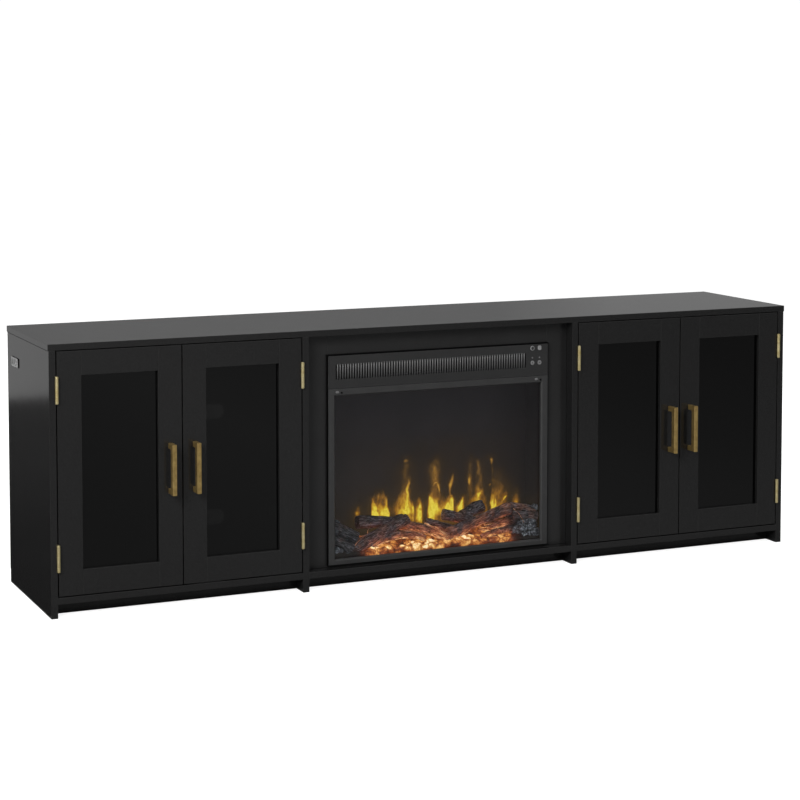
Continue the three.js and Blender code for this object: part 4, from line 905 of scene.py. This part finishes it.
def build_shadow_strip():
    """A black strip round the insert's flange, painted shade that stands in for the shadow gap there."""
    wall, side, foot, set_back, board_gap, spans, corners = 3.4, 2.2, 2.4, 0.8, 0.3, 40, 12
    x, z0, z1 = PANEL.x1, Box("glass_frame").z0, PANEL.z1
    y0, y1 = PANEL.y0 + set_back, Box("fireplace_surround").y0 - board_gap
    strips = ((-x - side, -x, z0, z1 + wall), (x, x + side, z0, z1 + wall),
              (-x - side, x + side, z1, z1 + wall), (-x - side, x + side, z0 - foot, z0))
    parts = []
    for left, right, low, high in strips:
        lying = right - left > high - low
        start, end, across = (left, right, (low, high)) if lying else (low, high, (left, right))
        middle, half = sum(across) / 2, (across[1] - across[0]) / 2
        rings = []
        for along in np.linspace(start, end, spans + 1):
            section = rounded(half, (y1 - y0) / 2, 0.4, corners)
            section = [(middle + a, (y0 + y1) / 2 + b) for a, b in section]
            rings.append([(along, y, a) if lying else (a, y, along) for a, y in section])
        parts.append(loft(rings))
    shadow_black = plastic_finish("shadow_strip_black", "#060606", "#030303", 900, (0.7, 0.9), sheen=0.06)
    piece("insert_shadow_strip", parts, shadow_black, "black_metal")


def build_joint_strips():
    """The shaded joints under the top board's two ends."""
    inset, spans = 0.6, 60
    section = ((-0.6, -1.5), (0.45, -1.35), (0.7, -0.8), (0.45, -0.25), (-0.6, -0.1))
    shade = plastic_finish("joint_shadow", "#2c2c2c", "#242424", 900, (0.5, 0.7))
    for side, hand in (("left", -1), ("right", 1)):
        board = Box("side_panel_" + side)
        outer = board.x0 if hand < 0 else board.x1
        run = np.linspace(board.y0 + inset, board.y1 - inset, spans + 1)
        rings = [[(outer + hand * a, y, board.z1 + b) for a, b in section] for y in run]
        piece("joint_strip_" + side, [loft(rings)], shade, "black_laminate")


def build_liners():
    """Smoky liners on the two side walls of the fire's room, each folded inward at its front."""
    fold, lip, steps, wall_gap, front_gap, back_gap, end_gap = 1.4, 5.5, 6, 0.15, 0.7, 1.2, 0.3
    wall, front = INNER_HALF - wall_gap - LINER / 2, HEARTH_Y + front_gap
    plan = [(wall - lip, front)]
    for turn in (math.pi / 2 * k / steps for k in range(steps + 1)):
        plan.append((wall - fold + fold * math.sin(turn), front + fold - fold * math.cos(turn)))
    plan = np.array(plan + [(wall, HEARTH_Y + 30.0), (wall, SCREEN.y0 - back_gap)])
    run = np.gradient(plan, axis=0)
    across = unit(np.stack([run[:, 1], -run[:, 0]], 1)) * LINER / 2
    low, high, film = SCREEN.z0 + end_gap, SCREEN.z1 - end_gap, screen_finish("smoky_wall_liner", 0.72)
    for side, hand in (("left", -1), ("right", 1)):
        rings = []
        for z, thick in ((low, 0.5), (low + end_gap, 1.0), (high - end_gap, 1.0), (high, 0.5)):
            outline = np.concatenate([plan + across * thick, (plan - across * thick)[::-1]])
            rings.append([(hand * x, y, z) for x, y in outline])
        piece("room_liner_" + side, [loft(rings)], film, "smoke_screen", flat=True)


def screw_head(x, y, z, toward):
    """A low countersunk head with a cross cut, lying on a face that looks along x."""
    radius, slot_half, sides = 2.5, 0.3, 32
    rings = []
    for r in (0.05, 0.12, 0.24, 0.36, 0.48, 0.6, 0.8, 0.94, 1.0):
        ring = []
        for a, b in rounded(r * radius, r * radius, 1, sides):
            cut = min(abs(a), abs(b)) < slot_half and r < 0.6
            lift = 0.01 if cut or r == 1.0 else 0.13 - 0.05 * r * r
            ring.append((x + toward * lift, y + a, z + b))
        rings.append(ring)
    return loft(rings, last_cap=False)


def build_hinge_screws():
    """Three screws in each hinge leaf, on the face that shows when the door stands open."""
    sunk, places = 0.2, ((-22, 5.0), (0, 9.0), (22, 5.0))
    heads = {"cabinet": []}
    for name in nodes:
        if not name.endswith("_leaf"):
            continue
        leaf, door = Box(name), name[:6]
        hand = 1 if door in ("door_1", "door_3") else -1
        holder, toward = ("cabinet", hand) if name.endswith("cabinet_leaf") else (door, -hand)
        face = (leaf.x0 + leaf.x1) / 2 - toward * sunk
        for rise, back in places:
            head = screw_head(face, leaf.y1 - back, (leaf.z0 + leaf.z1) / 2 + rise, toward)
            heads.setdefault(holder, []).append(head)
    for holder, parts in heads.items():
        body = "stand" if holder == "cabinet" else holder
        piece(holder + "_hinge_screws", parts, BRASS, "brass", body)


def pressed_plate(x, y, z, half_x, half_z, toward, lift):
    """A thin plate with rounded corners and a dished middle, on a face that looks along y."""
    rows = ((1.0, 0.0), (0.97, 0.7), (0.9, 1.0), (0.5, 1.0), (0.38, 0.45), (0.2, 0.4))
    outline = rounded(half_x, half_z, 0.35, 40)
    return loft([[(x + share * a, y + toward * lift * height, z + share * b) for a, b in outline]
                 for share, height in rows], first_cap=False)


def build_catches():
    """Zinc faces on the strike plates, and the two steel poles of each magnetic catch."""
    reach, bay_middle, catch_y = 13, 690.0, -166.5
    plate_half_x, plate_half_z, plate_drop, plate_lift = 8.6, 4.1, 8.5, 0.14
    pole_half_x, pole_half_z, pole_rises, pole_lift = 8.0, 1.1, (3.2, 7.8), 0.1
    for k in (1, 2, 3, 4):
        door = Box("door_%d_frame" % k)
        x = door.x1 - reach if k in (1, 3) else door.x0 + reach
        plate = pressed_plate(x, door.y1, door.z1 - plate_drop, plate_half_x, plate_half_z, 1, plate_lift)
        piece("door_%d_strike_face" % k, [plate], ZINC, "zinc_sheet", "door_%d" % k)
    under = Box("top_panel").z0
    parts = [pressed_plate(bay + side, catch_y, under + rise, pole_half_x, pole_half_z, -1, pole_lift)
             for bay in (-bay_middle, bay_middle) for side in (-reach, reach) for rise in pole_rises]
    piece("catch_poles", parts, ZINC, "zinc_sheet")


def build_keepers():
    """Two small grey keepers at the upper corners of the glass frame, each with its dark screw."""
    left, right, keeper_z, screw_z, screw_away = -282.0, 272.5, 488.6, 486.4, 12.0
    half_x, half_z, crown = 4.6, 2.9, ((0.0, 0.0), (0.0, 0.9), (0.5, 1.6), (1.4, 1.9))
    face = Box("glass_frame").y0
    profile = [(2.7, face + 0.1), (2.7, face - 0.5), (2.1, face - 0.85), (0.5, face - 0.9)]
    pads, screws = [], []
    for x in (left, right):
        pads.append(loft([[(x + a, face + 0.05 - out, keeper_z + b)
                           for a, b in rounded(half_x - inset, half_z - inset * 0.8, 0.7, 28)]
                          for inset, out in crown]))
        screws.append(turned(profile, 18, x + screw_away, screw_z))
    piece("frame_keepers", pads, plastic_finish("grey_keeper", "#6c6c6c", "#545454"), "grey_plastic")
    blacked = plastic_finish("blackened_screw", "#080808", "#040404", sheen=0.08)
    piece("frame_screws", screws, blacked, "black_metal")


def build_louvres():
    """Curved hoods behind the ten air slots in the case's rear wall."""
    case_depth, vent_count, pitch, vent_height, split = 150.0, 10, 14.0, 36.0, 0.4
    reach, sheet, opening, steps = 6.0, 0.7, 0.80, 14
    rear = Box("fireplace_surround").y0 + case_depth + 0.1
    low = (PANEL.z0 - split + Box("firebox_case").z1 - vent_height) / 2
    turns = [opening * math.pi * t / steps for t in range(steps + 1)]
    levels = (low - 3, low - 2, low + vent_height / 2, low + vent_height + 2, low + vent_height + 3)
    parts = []
    for k in range(vent_count):
        middle = (k - (vent_count - 1) / 2) * pitch
        outer, inner = [[(middle - r * math.cos(a), rear + r * math.sin(a)) for a in turns]
                        for r in (reach, reach - sheet)]
        parts.append(loft([[(x, y, z) for x, y in outer + inner[::-1]] for z in levels]))
    piece("vent_louvres", parts, CASE, "black_metal", flat=True)


def build_back_pins():
    """Round-headed panel pins along the edges of the three back panels."""
    inset, spacing, sides = 7, 118, 12
    head = ((0.9, 2.0), (0.9, 0.55), (3.1, 0.5), (3.0, 0.25), (2.0, 0.06), (0.6, 0.01))
    for name in ("back_panel_left", "back_panel_centre", "back_panel_right"):
        board = Box(name)
        x0, x1, z0, z1 = board.x0 + inset, board.x1 - inset, board.z0 + inset, board.z1 - inset
        across, up = (max(2, round(run / spacing)) for run in (x1 - x0, z1 - z0))
        spots = [(x, z) for x in np.linspace(x0, x1, across + 1) for z in (z0, z1)]
        spots += [(x, z) for z in np.linspace(z0, z1, up + 1)[1:-1] for x in (x0, x1)]
        profile = [(radius, board.y1 - back) for radius, back in head]
        parts = [turned(profile, sides, x, z) for x, z in spots]
        piece(name + "_pins", parts, ZINC, "zinc_sheet")


build_embers()
logs = [build_log(number, *entry) for number, entry in enumerate(LOGS, 1)]
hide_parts("log_set")
for number, entry in enumerate(STONES, 1):
    build_stone(number, *entry)
for build in (build_kindling, build_flames, build_grille_bars, build_lamps, build_keepers, build_shadow_strip,
              build_joint_strips, build_liners, build_hinge_screws, build_catches, build_louvres,
              build_back_pins):
    build()


# The stage, in metres
STAGE_RADIUS, HORIZON_HEIGHT, RIM_POINTS = 40.0, 4.2, 96


def seen_white(name, colour, ambient, shown):
    """Its own colour under the lamps, plus white where the camera, a gloss or a glass looks at it."""
    f = Finish(name, principled=False)
    path = f.add("LightPath").outputs
    seen = f.math("MAXIMUM", f.math("MAXIMUM", path["Is Camera Ray"], path["Is Glossy Ray"]),
                  path["Is Transmission Ray"])
    light = f.add("Emission", {"Strength": f.span(seen, 0.0, 1.0, ambient, shown)})
    whole = f.add("TexCoord").outputs["Generated"]
    tone = f.ramp(f.noise(3.0, 2.0, 0.5, whole), (0.0, colour * 0.985), (1.0, colour))
    plain = f.add("BsdfDiffuse", {"Color": tone})
    both = f.add("AddShader", {0: plain.outputs[0], 1: light.outputs[0]})
    f.feed(f.surface, both.outputs[0])
    return f


def stage_mesh(name, points, faces, finish):
    data = bpy.data.meshes.new(name)
    data.from_pydata(points, [], faces)
    data.materials.append(finish.material)
    made = placed(name, data)
    return made


def card(name, corners, through_glass, axis, low, high, *stops):
    """An even studio card, graded along one axis, that glossy surfaces see and glass may show."""
    f = Finish(name + "_tone", principled=False)
    tone = f.ramp(f.span(f.along(axis), low, high, 0.0, 1.0), *stops)
    f.feed(f.surface, f.add("Emission", {"Color": tone}).outputs[0])
    made = stage_mesh(name, corners, [tuple(range(len(corners)))], f)
    made.visible_camera = False
    made.visible_diffuse = False
    made.visible_transmission = through_glass
    made.visible_shadow = False


def lying(x0, x1, y0, y1, z):
    return [(x0, y0, z), (x1, y0, z), (x1, y1, z), (x0, y1, z)]


def standing(x0, x1, y, height):
    return [(x0, y, 0.0), (x1, y, 0.0), (x1, y, height), (x0, y, height)]


rim, raised_rim = ([(x, y, z) for x, y in rounded(STAGE_RADIUS, STAGE_RADIUS, 1, RIM_POINTS)]
                   for z in (0.0, HORIZON_HEIGHT))
stage_mesh("floor", rim, [tuple(range(RIM_POINTS))], seen_white("pale_floor", 0.4, 0.0, 0.88))
stage_mesh("horizon", rim + raised_rim, grid_faces(2, RIM_POINTS, closed=True),
           seen_white("pale_horizon", 0.1, 0.3, 1.0))

# Dark mats and grey boards round the piece, as a photographer sets flags. The mats lie over each other.
SIDE_MAT = ((-9, -0.34), (-1.015, -0.34), (-1.015, 0.22), (-0.6, 3.15), (-9, 3.15))
card("front_mat", lying(-18, 18, -34, -0.30, 0.0005), True, "X", -1.5, 4.5,
     (0, 0.19), (0.15, 0.195), (0.3, 0.245), (0.44, 0.205), (0.55, 0.17), (0.75, 0.14), (1, 0.12))
card("kick_mat", lying(-14, 14, -0.31, -0.13, 0.0009), True, "Y", -0.31, -0.13,
     (0, 0.17), (0.72, 0.16), (0.88, 0.03), (1, 0.0))
card("side_mat", [(x, y, 0.0007) for x, y in SIDE_MAT], False, "Y", -0.3, 3.15,
     (0, 0.014), (0.3, 0.018), (0.6, 0.038), (1, 0.045))
card("back_board", standing(-0.9, 9, 3.16, 3.4), False, "X", -1, 5,
     (0, 0.182), (0.47, 0.182), (0.565, 0.285), (1, 0.30))
card("left_board", standing(-9, -0.9, 3.15, 3.4), False, "X", -4, -1, (0, 0.42), (1, 0.40))

world = bpy.data.worlds.new("studio")
world.use_nodes = True
background = world.node_tree.nodes["Background"]
background.inputs["Color"].default_value = (0.33, 0.33, 0.335, 1)
background.inputs["Strength"].default_value = 1.0
scene.world = world


def lamp(name, place, aim, size, power, in_gloss=True):
    data = bpy.data.lights.new(name, "AREA")
    data.shape = "RECTANGLE"
    data.size, data.size_y = size
    data.energy = power
    made = placed(name, data)
    made.location = place
    made.rotation_euler = (Vector(aim) - Vector(place)).to_track_quat("-Z", "Y").to_euler()
    made.visible_glossy = in_gloss


lamp("key", place=(-3.8, -3.2, 3.0), aim=(-0.2, 0, 0.3), size=(2.4, 2.0), power=235)
lamp("fill", place=(3.2, -4.2, 2.8), aim=(0.2, 0, 0.3), size=(2.6, 2.0), power=55, in_gloss=False)
lamp("sky", place=(0.2, 0.5, 3.8), aim=(0, 0, 0.3), size=(3.2, 2.4), power=80, in_gloss=False)
lamp("rear", place=(1.2, 4.0, 2.9), aim=(0, 0.2, 0.35), size=(2.6, 1.8), power=110)
